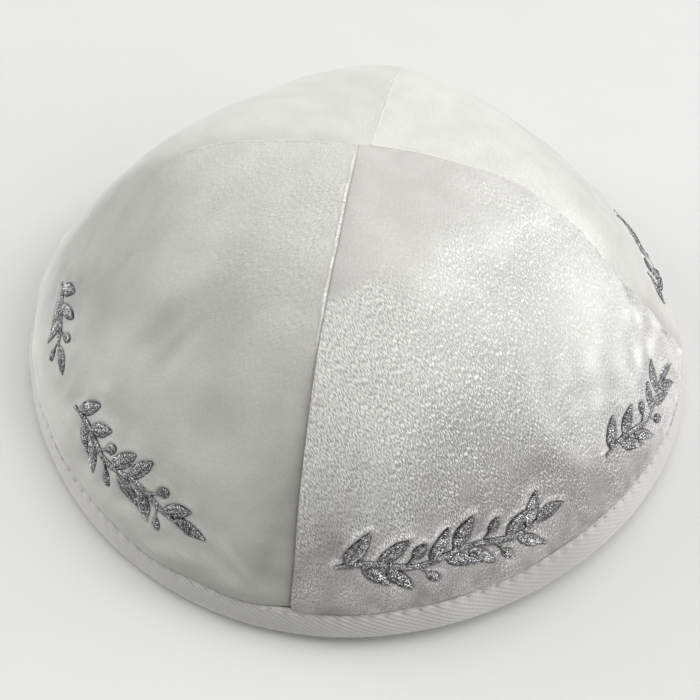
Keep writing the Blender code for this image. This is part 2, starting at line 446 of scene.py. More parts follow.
def mixColours(tree, factor, dark, light):
    # each colour is red, green and blue, or the output that gives it
    node = addNode(tree, "ShaderNodeMix", data_type="RGBA", clamp_factor=True)
    tree.links.new(factor, node.inputs["Factor"])
    for name, colour in (("A", dark), ("B", light)):
        socket = next(s for s in node.inputs if s.type == "RGBA" and s.name == name)
        if isinstance(colour, tuple):
            socket.default_value = (*colour, 1.0)
        else:
            tree.links.new(colour, socket)
    return next(socket for socket in node.outputs if socket.type == "RGBA")


def pieceNumber(tree, name, output="Fac"):
    return addNode(tree, "ShaderNodeAttribute", attribute_name=name).outputs[output]


# Shared effects of the cloths and threads

def napGroup():
    # flecks of brushed pile, long down the cloth, on places in metres over the flat cloth
    group, start, end, _ = newGroup(
        "brushedNap", "ShaderNodeTree",
        [("Place", "NodeSocketVector", None), ("Fleck Width", "NodeSocketFloat", 0.0005),
         ("Fleck Length", "NodeSocketFloat", 0.0015), ("Drift", "NodeSocketFloat", 0.0010)],
        [("Flecks", "NodeSocketFloat"), ("Patches", "NodeSocketFloat")])
    place = start.outputs["Place"]
    bend = addNode(group, "ShaderNodeTexNoise", {"Vector": place, "Scale": 160.0, "Detail": 1.0})
    centred = vectors(group, "SUBTRACT", bend.outputs["Color"], (0.5, 0.5, 0.5))
    moved = vectors(group, "ADD", place, scaled(group, centred, start.outputs["Drift"]))
    parts = addNode(group, "ShaderNodeSeparateXYZ", {0: moved})
    wide = sums(group, "DIVIDE", parts.outputs[0], start.outputs["Fleck Width"])
    long = sums(group, "DIVIDE", parts.outputs[1], start.outputs["Fleck Length"])
    stretched = addNode(group, "ShaderNodeCombineXYZ", {0: wide, 1: long}).outputs[0]
    fleck = addNode(group, "ShaderNodeTexNoise",
                    {"Vector": stretched, "Scale": 0.62, "Detail": 2.0, "Roughness": 0.55})
    sharp = addNode(group, "ShaderNodeMapRange",
                    {"Value": fleck.outputs[0], "From Min": 0.40, "From Max": 0.60},
                    interpolation_type="SMOOTHSTEP")
    group.links.new(sharp.outputs[0], end.inputs["Flecks"])
    patch = addNode(group, "ShaderNodeTexNoise", {"Vector": place, "Scale": 105.0, "Detail": 3.0})
    soft = addNode(group, "ShaderNodeMapRange",
                   {"Value": patch.outputs[0], "From Min": 0.30, "From Max": 0.70},
                   interpolation_type="SMOOTHSTEP")
    group.links.new(soft.outputs[0], end.inputs["Patches"])
    return group


def weaveGroup():
    # plain weave, over one and under one
    group, start, end, _ = newGroup(
        "plainWeave", "ShaderNodeTree",
        [("Place", "NodeSocketVector", None), ("Thread Pitch", "NodeSocketFloat", 0.0006)],
        [("Threads", "NodeSocketFloat")])
    parts = addNode(group, "ShaderNodeSeparateXYZ", {0: start.outputs["Place"]})
    turns = []
    for axis in (0, 1):
        turn = sums(group, "DIVIDE", parts.outputs[axis], start.outputs["Thread Pitch"])
        turns.append(sums(group, "SINE", sums(group, "MULTIPLY", turn, math.pi)))
    crossing = sums(group, "MULTIPLY", turns[0], turns[1])
    threads = sums(group, "MULTIPLY_ADD", crossing, 0.5, 0.5)
    group.links.new(threads, end.inputs["Threads"])
    return group


def twistGroup():
    # strands laid round a thread, on places where X runs along it from -1 to 1 and Y and Z go round it
    group, start, end, _ = newGroup(
        "threadTwist", "ShaderNodeTree",
        [("Place", "NodeSocketVector", None), ("Twists", "NodeSocketFloat", 6.0)],
        [("Strands", "NodeSocketFloat")])
    parts = addNode(group, "ShaderNodeSeparateXYZ", {0: start.outputs["Place"]})
    along = sums(group, "MULTIPLY", parts.outputs[0], start.outputs["Twists"])
    around = sums(group, "ARCTAN2", parts.outputs[2], parts.outputs[1])
    turn = sums(group, "MULTIPLY_ADD", along, math.pi, around)
    strands = sums(group, "MULTIPLY_ADD", sums(group, "SINE", turn), 0.5, 0.5)
    group.links.new(strands, end.inputs["Strands"])
    return group


def glintGroup():
    # small facets of flat metal foil wound round a thread, each tilted its own way
    group, start, end, _ = newGroup(
        "foilGlints", "ShaderNodeTree",
        [("Place", "NodeSocketVector", None), ("Surface Normal", "NodeSocketVector", None),
         ("Facets Each Metre", "NodeSocketFloat", 4200.0), ("Tilt", "NodeSocketFloat", 0.9)],
        [("Normal", "NodeSocketVector"), ("Shine", "NodeSocketFloat")])
    cells = addNode(group, "ShaderNodeTexVoronoi", {"Vector": start.outputs["Place"]}, feature="F1")
    group.links.new(start.outputs["Facets Each Metre"], cells.inputs["Scale"])
    centred = vectors(group, "SUBTRACT", cells.outputs["Color"], (0.5, 0.5, 0.5))
    tilt = scaled(group, centred, start.outputs["Tilt"])
    turned = vectors(group, "ADD", start.outputs["Surface Normal"], tilt)
    normal = addNode(group, "ShaderNodeVectorMath", {0: turned}, operation="NORMALIZE").outputs[0]
    group.links.new(normal, end.inputs["Normal"])
    # each facet's own shine, which the silver paints as a glint in its colour
    parts = addNode(group, "ShaderNodeSeparateXYZ", {0: cells.outputs["Color"]})
    group.links.new(parts.outputs[0], end.inputs["Shine"])
    return group


def fuzzGroup():
    # fine uneven wear and lint, the same in all directions
    group, start, end, _ = newGroup(
        "softWear", "ShaderNodeTree",
        [("Place", "NodeSocketVector", None), ("Grain", "NodeSocketFloat", 900.0)],
        [("Wear", "NodeSocketFloat"), ("Fuzz", "NodeSocketFloat")])
    place = start.outputs["Place"]
    wear = addNode(group, "ShaderNodeTexNoise", {"Vector": place, "Scale": 38.0, "Detail": 3.0})
    group.links.new(wear.outputs[0], end.inputs["Wear"])
    fuzz = addNode(group, "ShaderNodeTexNoise",
                   {"Vector": place, "Scale": start.outputs["Grain"], "Detail": 2.0})
    group.links.new(fuzz.outputs[0], end.inputs["Fuzz"])
    return group


# Materials

velvetLook = {
    "dark": (0.22, 0.217, 0.194),
    "light": (0.96, 0.955, 0.915),
    "warmDark": (0.22, 0.204, 0.198),
    "warmLight": (0.96, 0.948, 0.922),
    "fleckWidth": 0.00013,
    "fleckLength": 0.00040,
    "middleTint": 0.636,
    "fleckTint": 0.53,
    # painted shade in the hollows between the flecks
    "deep": (0.30, 0.296, 0.282),
    "deepTint": 0.75,            # how far the hollows between the flecks go over to the colour of painted shade
    "fleckHeight": 0.00018,
    "patchTint": 0.073,
    "shadeTint": 0.934,          # so that a shade of 0.1, of painted light as of the pile's own tone, makes the pile a tenth lighter
    # how much the painted highlight on raised pile and on the seams' ridges lightens the colour
    "raisedHighlightTint": 0.402,
    "fuzzTint": 0.073,
    "raisedHighlight": (1.3, 0.3),        # of the painted highlight on raised pile: how much its flecks count, and how much it has anyway
    "grain": 1400.0,             # of the lint, each metre
    "roughness": 0.60,
    "brushedRough": -0.15,
    "fleckRough": -0.12,
    "shine": 1.0,
    "sheen": 0.25,
    "sheenRough": 0.38,
    "fuzzHeight": 0.25,
    "bump": 0.85,
}


def velvetMaterial(nap, wear):
    look = velvetLook
    material, tree, shader = newMaterial("silver white velvet")
    cloth = flatPlace(tree)
    brushed = useGroup(tree, nap, {
        "Place": cloth,
        "Fleck Width": look["fleckWidth"],
        "Fleck Length": look["fleckLength"],
    })
    worn = useGroup(tree, wear, {"Place": cloth, "Grain": look["grain"]})
    # the flecks lighten and darken the colour: partly the pile's own crushed flecks and partly painted
    # glints of its sheen
    fleckShare = pieceNumber(tree, "napFleck")
    flecks = sums(tree, "SUBTRACT", brushed.outputs["Flecks"], 0.5)
    flecks = sums(tree, "MULTIPLY", flecks, fleckShare)
    tint = sums(tree, "MULTIPLY_ADD", flecks, look["fleckTint"], look["middleTint"])
    patches = sums(tree, "SUBTRACT", brushed.outputs["Patches"], 0.5)
    tint = sums(tree, "MULTIPLY_ADD", patches, look["patchTint"], tint)
    # the pile's tone with its painted highlight and painted shade, from the piece
    tint = sums(tree, "MULTIPLY_ADD", pieceNumber(tree, "pileToneAndPaintedLight"), look["shadeTint"], tint)
    # painted highlight where the pile stands up round the stitches and on the seams' ridges
    raisedHighlight = sums(tree, "MULTIPLY_ADD", brushed.outputs["Flecks"], *look["raisedHighlight"])
    raisedHighlight = sums(tree, "MULTIPLY", raisedHighlight, pieceNumber(tree, "raisedPileHighlight"))
    tint = sums(tree, "MULTIPLY_ADD", raisedHighlight, look["raisedHighlightTint"], tint)
    fuzz = sums(tree, "SUBTRACT", worn.outputs["Fuzz"], 0.5)
    tint = sums(tree, "MULTIPLY_ADD", fuzz, look["fuzzTint"], tint)
    warm = pieceNumber(tree, "napWarm")
    dark = mixColours(tree, warm, look["dark"], look["warmDark"])
    light = mixColours(tree, warm, look["light"], look["warmLight"])
    colour = mixColours(tree, tint, dark, light)
    # painted shade in the hollows between the flecks
    hollowShade = sums(tree, "MULTIPLY", flecks, -look["deepTint"])
    rough = sums(tree, "MULTIPLY_ADD", fleckShare, look["brushedRough"], look["roughness"])
    height = sums(tree, "MULTIPLY_ADD", fuzz, look["fuzzHeight"], flecks)
    setInputs(tree, shader, {
        "Base Color": mixColours(tree, hollowShade, colour, look["deep"]),
        "Roughness": sums(tree, "MULTIPLY_ADD", flecks, look["fleckRough"], rough),
        "Sheen Weight": look["sheen"],
        "Sheen Roughness": look["sheenRough"],
        "Specular IOR Level": look["shine"],
        "Normal": addBump(tree, height, look["bump"], look["fleckHeight"]),
    })
    return material


backingLook = {
    "dark": (0.50, 0.50, 0.48),
    "light": (0.72, 0.715, 0.69),
    "threadPitch": 0.00055,
    "threadHeight": 0.00012,
    "leastTint": 0.1,
    "threadTint": 0.5,
    "wearTint": 0.5,
    "grain": 700.0,
    "roughness": 0.78,
    "fuzzRough": 0.15,
    "sheen": 0.15,
    "bump": 0.7,
}


def backingMaterial(weave, wear):
    look = backingLook
    material, tree, shader = newMaterial("woven back of the velvet")
    cloth = flatPlace(tree)
    woven = useGroup(tree, weave, {"Place": cloth, "Thread Pitch": look["threadPitch"]})
    threads = woven.outputs["Threads"]
    worn = useGroup(tree, wear, {"Place": cloth, "Grain": look["grain"]})
    tint = sums(tree, "MULTIPLY_ADD", threads, look["threadTint"], look["leastTint"])
    tint = sums(tree, "MULTIPLY_ADD", worn.outputs["Wear"], look["wearTint"], tint)
    setInputs(tree, shader, {
        "Base Color": mixColours(tree, tint, look["dark"], look["light"]),
        "Roughness": sums(tree, "MULTIPLY_ADD", worn.outputs["Fuzz"], look["fuzzRough"], look["roughness"]),
        "Sheen Weight": look["sheen"],
        "Normal": addBump(tree, threads, look["bump"], look["threadHeight"]),
    })
    return material


twillLook = {
    "dark": (0.41, 0.403, 0.392),
    "light": (0.64, 0.63, 0.615),
    "yarnShift": 0.38,           # of a yarn's length, from one rib to the next
    "yarnWobble": 0.5,
    "yarnHeight": 0.00010,
    "leastTint": 0.16,
    "ribTint": 0.50,
    "yarnTint": 0.06,
    "wearTint": 0.35,
    "grain": 1100.0,
    "roughness": 0.82,
    "fuzzRough": -0.2,
    "sheen": 0.65,
    "sheenRough": 0.45,
    "shine": 0.35,
    "bump": 0.6,
}


def ribProfile(tree, rib):
    # rounded ribs, from 0 between them to 1 along their tops
    turn = sums(tree, "SINE", sums(tree, "MULTIPLY", rib, 2.0 * math.pi))
    return sums(tree, "POWER", sums(tree, "MULTIPLY_ADD", turn, 0.5, 0.5), 0.5)


def twillMaterial(wear, tape):
    # the yarns lie along the ribs, each one a short float
    look = twillLook
    material, tree, shader = newMaterial("pale grey bias twill")
    cloth = flatPlace(tree)
    parts = addNode(tree, "ShaderNodeSeparateXYZ", {0: cloth})
    worn = useGroup(tree, wear, {"Place": cloth, "Grain": look["grain"]})
    across = sums(tree, "MULTIPLY", parts.outputs[0], -tape["ribsEach"])
    rib = sums(tree, "MULTIPLY_ADD", parts.outputs[1], 1.0 / tape["ribPitch"], across)
    along = sums(tree, "MULTIPLY", parts.outputs[0], 1.0 / tape["yarnLength"])
    along = sums(tree, "MULTIPLY_ADD", sums(tree, "FLOOR", rib), look["yarnShift"], along)
    wobble = sums(tree, "MULTIPLY_ADD", worn.outputs["Fuzz"], look["yarnWobble"], along)
    yarnTurn = sums(tree, "SINE", sums(tree, "MULTIPLY", wobble, 2.0 * math.pi))
    ribShare = sums(tree, "SUBTRACT", ribProfile(tree, rib), tape["ribMiddle"])
    ribShare = sums(tree, "MULTIPLY_ADD", ribShare, pieceNumber(tree, "ribStrength"), tape["ribMiddle"])
    yarn = sums(tree, "MULTIPLY_ADD", ribShare, look["ribTint"], look["leastTint"])
    yarn = sums(tree, "MULTIPLY_ADD", yarnTurn, look["yarnTint"], yarn)
    worked = sums(tree, "SUBTRACT", worn.outputs["Wear"], 0.5)
    tint = sums(tree, "MULTIPLY_ADD", worked, look["wearTint"], yarn)
    # painted light and shade round the rim
    tint = sums(tree, "ADD", tint, pieceNumber(tree, "tapeLightAndShade"))
    setInputs(tree, shader, {
        "Base Color": mixColours(tree, tint, look["dark"], look["light"]),
        "Roughness": sums(tree, "MULTIPLY_ADD", worn.outputs["Fuzz"], look["fuzzRough"], look["roughness"]),
        "Sheen Weight": look["sheen"],
        "Sheen Roughness": look["sheenRough"],
        "Specular IOR Level": look["shine"],
        "Normal": addBump(tree, yarn, look["bump"], look["yarnHeight"]),
    })
    return material


silverLook = {
    "dark": (0.07, 0.07, 0.075),
    "light": (0.70, 0.70, 0.71),
    # painted glints: how far each facet, strand and thread lightens the colour
    "leastTint": -0.22,
    "facetTint": 0.95,
    "strandTint": 0.30,
    "glintTint": 0.35,
    "roughness": 0.30,
    "facetRough": -0.12,
    "metallic": 0.85,
    "facets": 6000.0,            # each metre
    "tilt": 1.1,
    "twists": 3.0,
    "strandHeight": 0.00006,
    "bump": 0.6,
}


def silverMaterial(twist, glint):
    look = silverLook
    material, tree, shader = newMaterial("silver embroidery thread")
    threadPlace = pieceNumber(tree, "threadPlace", "Vector")
    turned = useGroup(tree, twist, {"Place": threadPlace, "Twists": look["twists"]})
    strands = sums(tree, "SUBTRACT", turned.outputs["Strands"], 0.5)
    foil = useGroup(tree, glint, {
        "Place": objectPlace(tree),
        "Surface Normal": addBump(tree, turned.outputs["Strands"], look["bump"], look["strandHeight"]),
        "Facets Each Metre": look["facets"],
        "Tilt": look["tilt"],
    })
    shine = foil.outputs["Shine"]
    # the colour is painted with glints and reflections, lighter and darker facets, strands and threads, on
    # top of the real tilted facets
    tint = sums(tree, "MULTIPLY_ADD", shine, look["facetTint"], look["leastTint"])
    tint = sums(tree, "MULTIPLY_ADD", strands, look["strandTint"], tint)
    tint = sums(tree, "MULTIPLY_ADD", pieceNumber(tree, "glint"), look["glintTint"], tint)
    setInputs(tree, shader, {
        "Base Color": mixColours(tree, tint, look["dark"], look["light"]),
        "Roughness": sums(tree, "MULTIPLY_ADD", shine, look["facetRough"], look["roughness"]),
        "Metallic": look["metallic"],
        "Normal": foil.outputs["Normal"],
    })
    return material


cottonLook = {
    "dark": (0.48, 0.474, 0.46),
    "light": (0.74, 0.73, 0.715),
    "strandTint": 0.7,
    "roughness": 0.72,
    "strandRough": -0.15,
    "twists": 5.0,
    "strandHeight": 0.00005,
    "bump": 0.7,
}


def cottonMaterial(twist, wear):
    look = cottonLook
    material, tree, shader = newMaterial("pale grey sewing thread")
    threadPlace = pieceNumber(tree, "threadPlace", "Vector")
    turned = useGroup(tree, twist, {"Place": threadPlace, "Twists": look["twists"]})
    worn = useGroup(tree, wear, {"Place": objectPlace(tree)})
    strands = sums(tree, "SUBTRACT", turned.outputs["Strands"], 0.5)
    tint = sums(tree, "MULTIPLY_ADD", strands, look["strandTint"], worn.outputs["Wear"])
    setInputs(tree, shader, {
        "Base Color": mixColours(tree, tint, look["dark"], look["light"]),
        "Roughness": sums(tree, "MULTIPLY_ADD", strands, look["strandRough"], look["roughness"]),
        "Normal": addBump(tree, turned.outputs["Strands"], look["bump"], look["strandHeight"]),
    })
    return material


def floorMaterial(wear):
    form = floorForm
    material, tree, shader = newMaterial("pale table top")
    worn = useGroup(tree, wear, {"Place": objectPlace(tree), "Grain": form["grain"]})
    dim = tuple(form["dim"] * part for part in form["colour"])
    setInputs(tree, shader, {
        "Base Color": mixColours(tree, worn.outputs["Wear"], dim, form["colour"]),
        "Roughness": sums(tree, "MULTIPLY_ADD", worn.outputs["Fuzz"], form["fuzzRough"], form["roughness"]),
    })
    return material


# Sewn threads: one short arched thread on each place along the guide lines

threadForm = {
    "sides": 4,
    "segments": 4,
    "archPower": 2.4,            # how square the arch's shoulders are
    "glintSeed": 7.0,
}


def threadTree():
    tree, start, end, ids = newGroup(
        "sewnThreads", "GeometryNodeTree",
        [("Geometry", "NodeSocketGeometry", None), ("Stitch Pitch", "NodeSocketFloat", 0.0004),
         ("Thread Width", "NodeSocketFloat", 0.0004), ("Thread Rise", "NodeSocketFloat", 0.0006),
         ("Arch", "NodeSocketFloat", 1.0), ("Uneven", "NodeSocketFloat", 0.08),
         ("Guide Points Only", "NodeSocketBool", False), ("Seed", "NodeSocketInt", 1),
         ("Material", "NodeSocketMaterial", None)],
        [("Geometry", "NodeSocketGeometry")])
    tree.is_modifier = True
    given = start.outputs
    curve = addNode(tree, "GeometryNodeMeshToCurve", {"Mesh": given["Geometry"]})
    spaced = addNode(tree, "GeometryNodeResampleCurve",
                     {"Curve": curve.outputs[0], "Length": given["Stitch Pitch"]}, mode="LENGTH")
    guides = addNode(tree, "GeometryNodeSwitch",
                     {"Switch": given["Guide Points Only"], "False": spaced.outputs[0],
                      "True": given["Geometry"]}, input_type="GEOMETRY")
    # the thread itself: X from -1 to 1, arched up, half a unit thick each way
    rod = addNode(tree, "GeometryNodeMeshCylinder",
                  {"Vertices": threadForm["sides"], "Side Segments": threadForm["segments"],
                   "Radius": 0.5, "Depth": 2.0},
                  fill_type="NGON")
    laid = addNode(tree, "GeometryNodeTransform",
                   {"Geometry": rod.outputs["Mesh"], "Rotation": (0.0, math.pi / 2.0, 0.0)})
    place = addNode(tree, "GeometryNodeInputPosition").outputs[0]
    marked = addNode(tree, "GeometryNodeStoreNamedAttribute",
                     {"Geometry": laid.outputs[0], "Name": "threadPlace", "Value": place},
                     data_type="FLOAT_VECTOR", domain="POINT")
    along = addNode(tree, "ShaderNodeSeparateXYZ", {0: place}).outputs[0]
    fall = sums(tree, "POWER", sums(tree, "ABSOLUTE", along), threadForm["archPower"])
    rise = sums(tree, "MULTIPLY", sums(tree, "SUBTRACT", 1.0, fall), given["Arch"])
    lifted = addNode(tree, "GeometryNodeSetPosition",
                     {"Geometry": marked.outputs[0],
                      "Offset": addNode(tree, "ShaderNodeCombineXYZ", {2: rise}).outputs[0]})
    smooth = addNode(tree, "GeometryNodeSetShadeSmooth", {"Geometry": lifted.outputs[0]})
    across = storedValue(tree, "threadAcross", "FLOAT_VECTOR")
    out = storedValue(tree, "threadOut", "FLOAT_VECTOR")
    reach = storedValue(tree, "threadReach")
    turn = addNode(tree, "FunctionNodeAxesToRotation", {0: out, 1: across},
                   primary_axis="Z", secondary_axis="X")
    less = sums(tree, "SUBTRACT", 1.0, given["Uneven"])
    more = sums(tree, "ADD", 1.0, given["Uneven"])
    change = addNode(tree, "FunctionNodeRandomValue",
                     {2: less, 3: more, "Seed": given["Seed"]}, data_type="FLOAT")
    size = addNode(tree, "ShaderNodeCombineXYZ", {
        0: sums(tree, "MULTIPLY", reach, change.outputs[1]),
        1: given["Thread Width"],
        2: sums(tree, "MULTIPLY", given["Thread Rise"], change.outputs[1]),
    })
    threads = addNode(tree, "GeometryNodeInstanceOnPoints",
                      {"Points": guides.outputs[0], "Instance": smooth.outputs[0],
                       "Rotation": turn.outputs[0], "Scale": size.outputs[0]})
    # a random glint for each thread, which the silver paints lighter or darker
    glintSeed = sums(tree, "ADD", given["Seed"], threadForm["glintSeed"])
    shine = addNode(tree, "FunctionNodeRandomValue", {"Seed": glintSeed}, data_type="FLOAT")
    glinting = addNode(tree, "GeometryNodeStoreNamedAttribute",
                       {"Geometry": threads.outputs[0], "Name": "glint", "Value": shine.outputs[1]},
                       data_type="FLOAT", domain="INSTANCE")
    finishTree(tree, glinting.outputs[0], given["Material"], end)
    return tree, ids


def solve(name, guide, tree, values):
    # runs a tree on the guide and keeps the result as a plain mesh
    modifier = guide.modifiers.new(tree.name, "NODES")
    modifier.node_group = tree
    for identifier, value in values.items():
        modifier[identifier] = value
    depsgraph = bpy.context.evaluated_depsgraph_get()
    mesh = bpy.data.meshes.new_from_object(guide.evaluated_get(depsgraph), depsgraph=depsgraph)
    mesh.name = name
    source = guide.data
    bpy.data.objects.remove(guide)
    bpy.data.meshes.remove(source)
    return addPiece(name, mesh)


def sewThreads(name, lines, tree, ids, values, material):
    # lines are lists of guide points, each with its place, thread direction, outward direction and reach
    points = []
    edges = []
    for line in lines:
        first = len(points)
        points.extend(line)
        edges.extend((first + i, first + i + 1) for i in range(len(line) - 1))
    mesh = bpy.data.meshes.new(name + " guides")
    mesh.from_pydata([row[0] for row in points], edges, [])
    setNumbers(mesh, "threadAcross", [row[1] for row in points], "FLOAT_VECTOR")
    setNumbers(mesh, "threadOut", [row[2] for row in points], "FLOAT_VECTOR")
    setNumbers(mesh, "threadReach", [row[3] for row in points])
    guide = addPiece(name + " guides", mesh)
    settings = {ids[label]: value for label, value in values.items()}
    settings[ids["Material"]] = material
    return solve(name, guide, tree, settings)


# Embroidered border: leafy sprigs round the crown, between the seams

sprigForm = {
    "bandRadius": 0.0780,        # of the band's middle line, where places along it are measured
    "bandDown": 0.70,
    "stemHalfWidth": 0.00068,
    "stemStep": 0.0007,
    "stemSlant": 38.0,
    "stemThin": 0.4,             # share of its width at its ends, and how far they reach
    "stemTaper": 0.006,
    "sway": 0.0009,
    "swayLength": 0.0210,
    "leafLength": 0.0074,
    "leafHalfWidth": 0.00165,
    "leafAngle": 52.0,
    "leafSpacing": 0.0054,
    "leafBend": 16.0,            # degrees that a leaf turns back along its length
    "leafSlant": 24.0,           # of the threads from square across a leaf
    "leafBelly": 0.78,           # where along a leaf it is widest, and how blunt its tip is
    "leafBlunt": 0.85,
    "leafRoot": 0.00045,
    "leafUneven": 0.09,          # of its size
    "leafTurn": 5.0,             # degrees either way
    "firstLeaf": 0.0022,
    "lastLeaf": 0.0012,
    "endLeaf": 0.95,
    "endRoom": 0.85,             # of a leaf's length, kept for the last one
    "leastHalfWidth": 0.00016,
    "budRadius": 0.00130,
    "budStalk": 0.0027,
    "budEvery": 3,
    "stalkHalfWidth": 0.00026,
    "stalkSlant": 30.0,
    "seed": 5,
    "threadPitch": 0.00036,
    "threadWidth": 0.00040,
    "threadRise": 0.00052,
    "threadArch": 0.9,
    "threadSink": 0.00042,
    "threadUneven": 0.07,
    "threadSeed": 3,
    "press": 0.00042,            # how deep the pile is held down under the threads
    "pressEdge": (-0.00035, 0.00022),
    # the halo is both a real swelling of the pile and a painted highlight in its colour
    "halo": 0.00014,
    "haloPlace": 0.0009,
    "haloWidth": 0.0008,
    "haloBelow": 0.15,           # share of it that is left on the rim's side of a stroke
    "sideLook": 0.003,           # down share either way, to tell the two sides apart
    "pull": 0.00030,
    "pullReach": 0.0045,
    "pullLength": 0.0075,
}

# How strongly the pile stands up above the stitches in each panel, and how bright its painted highlight
# there is
haloAndHighlightShare = {
    "panel_front_right": 1.0,
    "panel_front_left": 0.15,
    "panel_back_right": 0.5,
    "panel_back_left": 0.3,
}

# start and end are azimuths; the middles are the down shares of the band's middle line there
Sprig = namedtuple("Sprig", "start end startMiddle endMiddle")
sprigs = [
    Sprig(6.0, 31.0, 0.752, 0.742),
    Sprig(47.0, 79.0, 0.725, 0.720),
    Sprig(96.0, 131.0, 0.710, 0.700),
    Sprig(138.0, 166.0, 0.715, 0.705),
    Sprig(199.5, 217.0, 0.625, 0.662),
    Sprig(224.5, 257.0, 0.690, 0.692),
    Sprig(277.0, 313.0, 0.700, 0.735),
    Sprig(325.5, 351.0, 0.716, 0.732),
]


def strokePoints(start, heading, length, bend, count):
    # a line in the band that starts at a place and turns evenly by bend
    places = [np.array(start)]
    step = length / (count - 1)
    for i in range(count - 1):
        angle = heading + bend * (i + 0.5) / (count - 1)
        places.append(places[-1] + step * np.array([math.cos(angle), math.sin(angle)]))
    return np.array(places)


def leafStroke(start, heading, size, side):
    count = 15
    length = sprigForm["leafLength"] * size
    bend = -side * math.radians(sprigForm["leafBend"])
    line = strokePoints(start, heading, length, bend, count)
    share = np.linspace(0.04, 0.985, count)
    swell = np.sin(math.pi * share ** sprigForm["leafBelly"]) ** sprigForm["leafBlunt"]
    width = np.maximum(sprigForm["leafHalfWidth"] * size * swell, sprigForm["leastHalfWidth"])
    return line, width, math.radians(sprigForm["leafSlant"]) * side


def budStroke(start, heading):
    count = 9
    radius = sprigForm["budRadius"]
    line = strokePoints(start, heading, 2.0 * radius, 0.0, count)
    share = np.linspace(-0.94, 0.94, count)
    return line, radius * np.sqrt(1.0 - share ** 2), 0.0


def stalkStroke(start, heading, length):
    line = strokePoints(start, heading, length, 0.0, 5)
    return line, np.full(len(line), sprigForm["stalkHalfWidth"]), math.radians(sprigForm["stalkSlant"])


def sprigStrokes():
    # every stroke as a line in the band, its half width and the slant of its threads
    form = sprigForm
    random = np.random.default_rng(form["seed"])
    strokes = []
    radius = form["bandRadius"]
    for sprig in sprigs:
        first = math.radians(sprig.start) * radius
        last = math.radians(sprig.end) * radius - form["endRoom"] * form["leafLength"]
        count = int((last - first) / form["stemStep"])
        along = np.linspace(first, last, count)
        share = (along - first) / (last - first)
        middle = sprig.startMiddle + (sprig.endMiddle - sprig.startMiddle) * share
        rise = (form["bandDown"] - middle) * crownForm["slant"]
        sway = form["sway"] * np.sin(2.0 * math.pi * (along - first) / form["swayLength"])
        stem = np.stack([along, rise + sway], axis=-1)
        ends = np.minimum(share, 1.0 - share) * (last - first)
        taper = form["stemThin"] + (1.0 - form["stemThin"]) * easeStep(ends, 0.0, form["stemTaper"])
        strokes.append((stem, form["stemHalfWidth"] * taper, math.radians(form["stemSlant"])))
        number = 0
        place = first + form["firstLeaf"]
        while place < last - form["lastLeaf"]:
            side = 1 if number % 2 == 0 else -1
            i = int(np.argmin(np.abs(along - place)))
            ahead = stem[min(i + 1, count - 1)] - stem[i - 1]
            heading = math.atan2(ahead[1], ahead[0]) + side * math.radians(form["leafAngle"])
            root = stem[i] + form["leafRoot"] * np.array([math.cos(heading), math.sin(heading)])
            size = 1.0 + random.uniform(-form["leafUneven"], form["leafUneven"])
            heading += math.radians(random.uniform(-form["leafTurn"], form["leafTurn"]))
            if (number // 2) % form["budEvery"] == form["budEvery"] - 1:
                strokes.append(stalkStroke(root, heading, form["budStalk"]))
                tip = strokes[-1][0][-1]
                strokes.append(budStroke(tip, heading))
            else:
                strokes.append(leafStroke(root, heading, size, side))
            number += 1
            place += form["leafSpacing"] / 2.0
        ahead = stem[-1] - stem[-3]
        strokes.append(leafStroke(stem[-1], math.atan2(ahead[1], ahead[0]), form["endLeaf"], 1))
    return strokes


fieldForm = {
    "cell": 0.0002,
    "halfHeight": 0.013,         # of the band that the grid covers
    "far": 0.02,
    "reach": 0.006,
    "step": 0.0003,
}


def strokeField(strokes):
    # how far each place of the band lies outside the nearest stroke, on a fine grid
    cell = fieldForm["cell"]
    halfHeight = fieldForm["halfHeight"]
    around = 2.0 * math.pi * sprigForm["bandRadius"]
    columns = int(round(around / cell))
    rows = int(2.0 * halfHeight / cell)
    field = np.full((rows, columns), fieldForm["far"])
    reach = int(fieldForm["reach"] / cell)
    offsets = np.arange(-reach, reach + 1)
    for line, halfWidth, _ in strokes:
        steps = np.linalg.norm(np.diff(line, axis=0), axis=1)
        lengths = np.concatenate([[0.0], np.cumsum(steps)])
        at = np.arange(0.0, lengths[-1], fieldForm["step"])
        xs = np.interp(at, lengths, line[:, 0])
        ys = np.interp(at, lengths, line[:, 1])
        widths = np.interp(at, lengths, halfWidth)
        for x, y, width in zip(xs, ys, widths):
            i = int(round(x / cell))
            j = int(round((y + halfHeight) / cell))
            nearRows = np.clip(j + offsets, 0, rows - 1)
            nearColumns = (i + offsets) % columns
            dx = (i + offsets) * cell - x
            dy = nearRows * cell - halfHeight - y
            away = np.hypot(dx[None, :], dy[:, None]) - width
            window = np.ix_(nearRows, nearColumns)
            field[window] = np.minimum(field[window], away)
    return field, cell


def strokeDistance(field, cell, azimuth, down):
    rows, columns = field.shape
    x = (azimuth % (2.0 * math.pi)) * sprigForm["bandRadius"] / cell
    y = ((sprigForm["bandDown"] - down) * crownForm["slant"] + fieldForm["halfHeight"]) / cell
    i = np.floor(x).astype(int)
    j = np.clip(np.floor(y).astype(int), 0, rows - 2)
    fx = x - i
    fy = np.clip(y - j, 0.0, 1.0)
    low = field[j, i % columns] * (1.0 - fx) + field[j, (i + 1) % columns] * fx
    high = field[j + 1, i % columns] * (1.0 - fx) + field[j + 1, (i + 1) % columns] * fx
    away = low * (1.0 - fy) + high * fy
    outside = np.maximum(np.maximum(-y, y - (rows - 1)), 0.0) * cell
    return away + outside


# Velvet panels

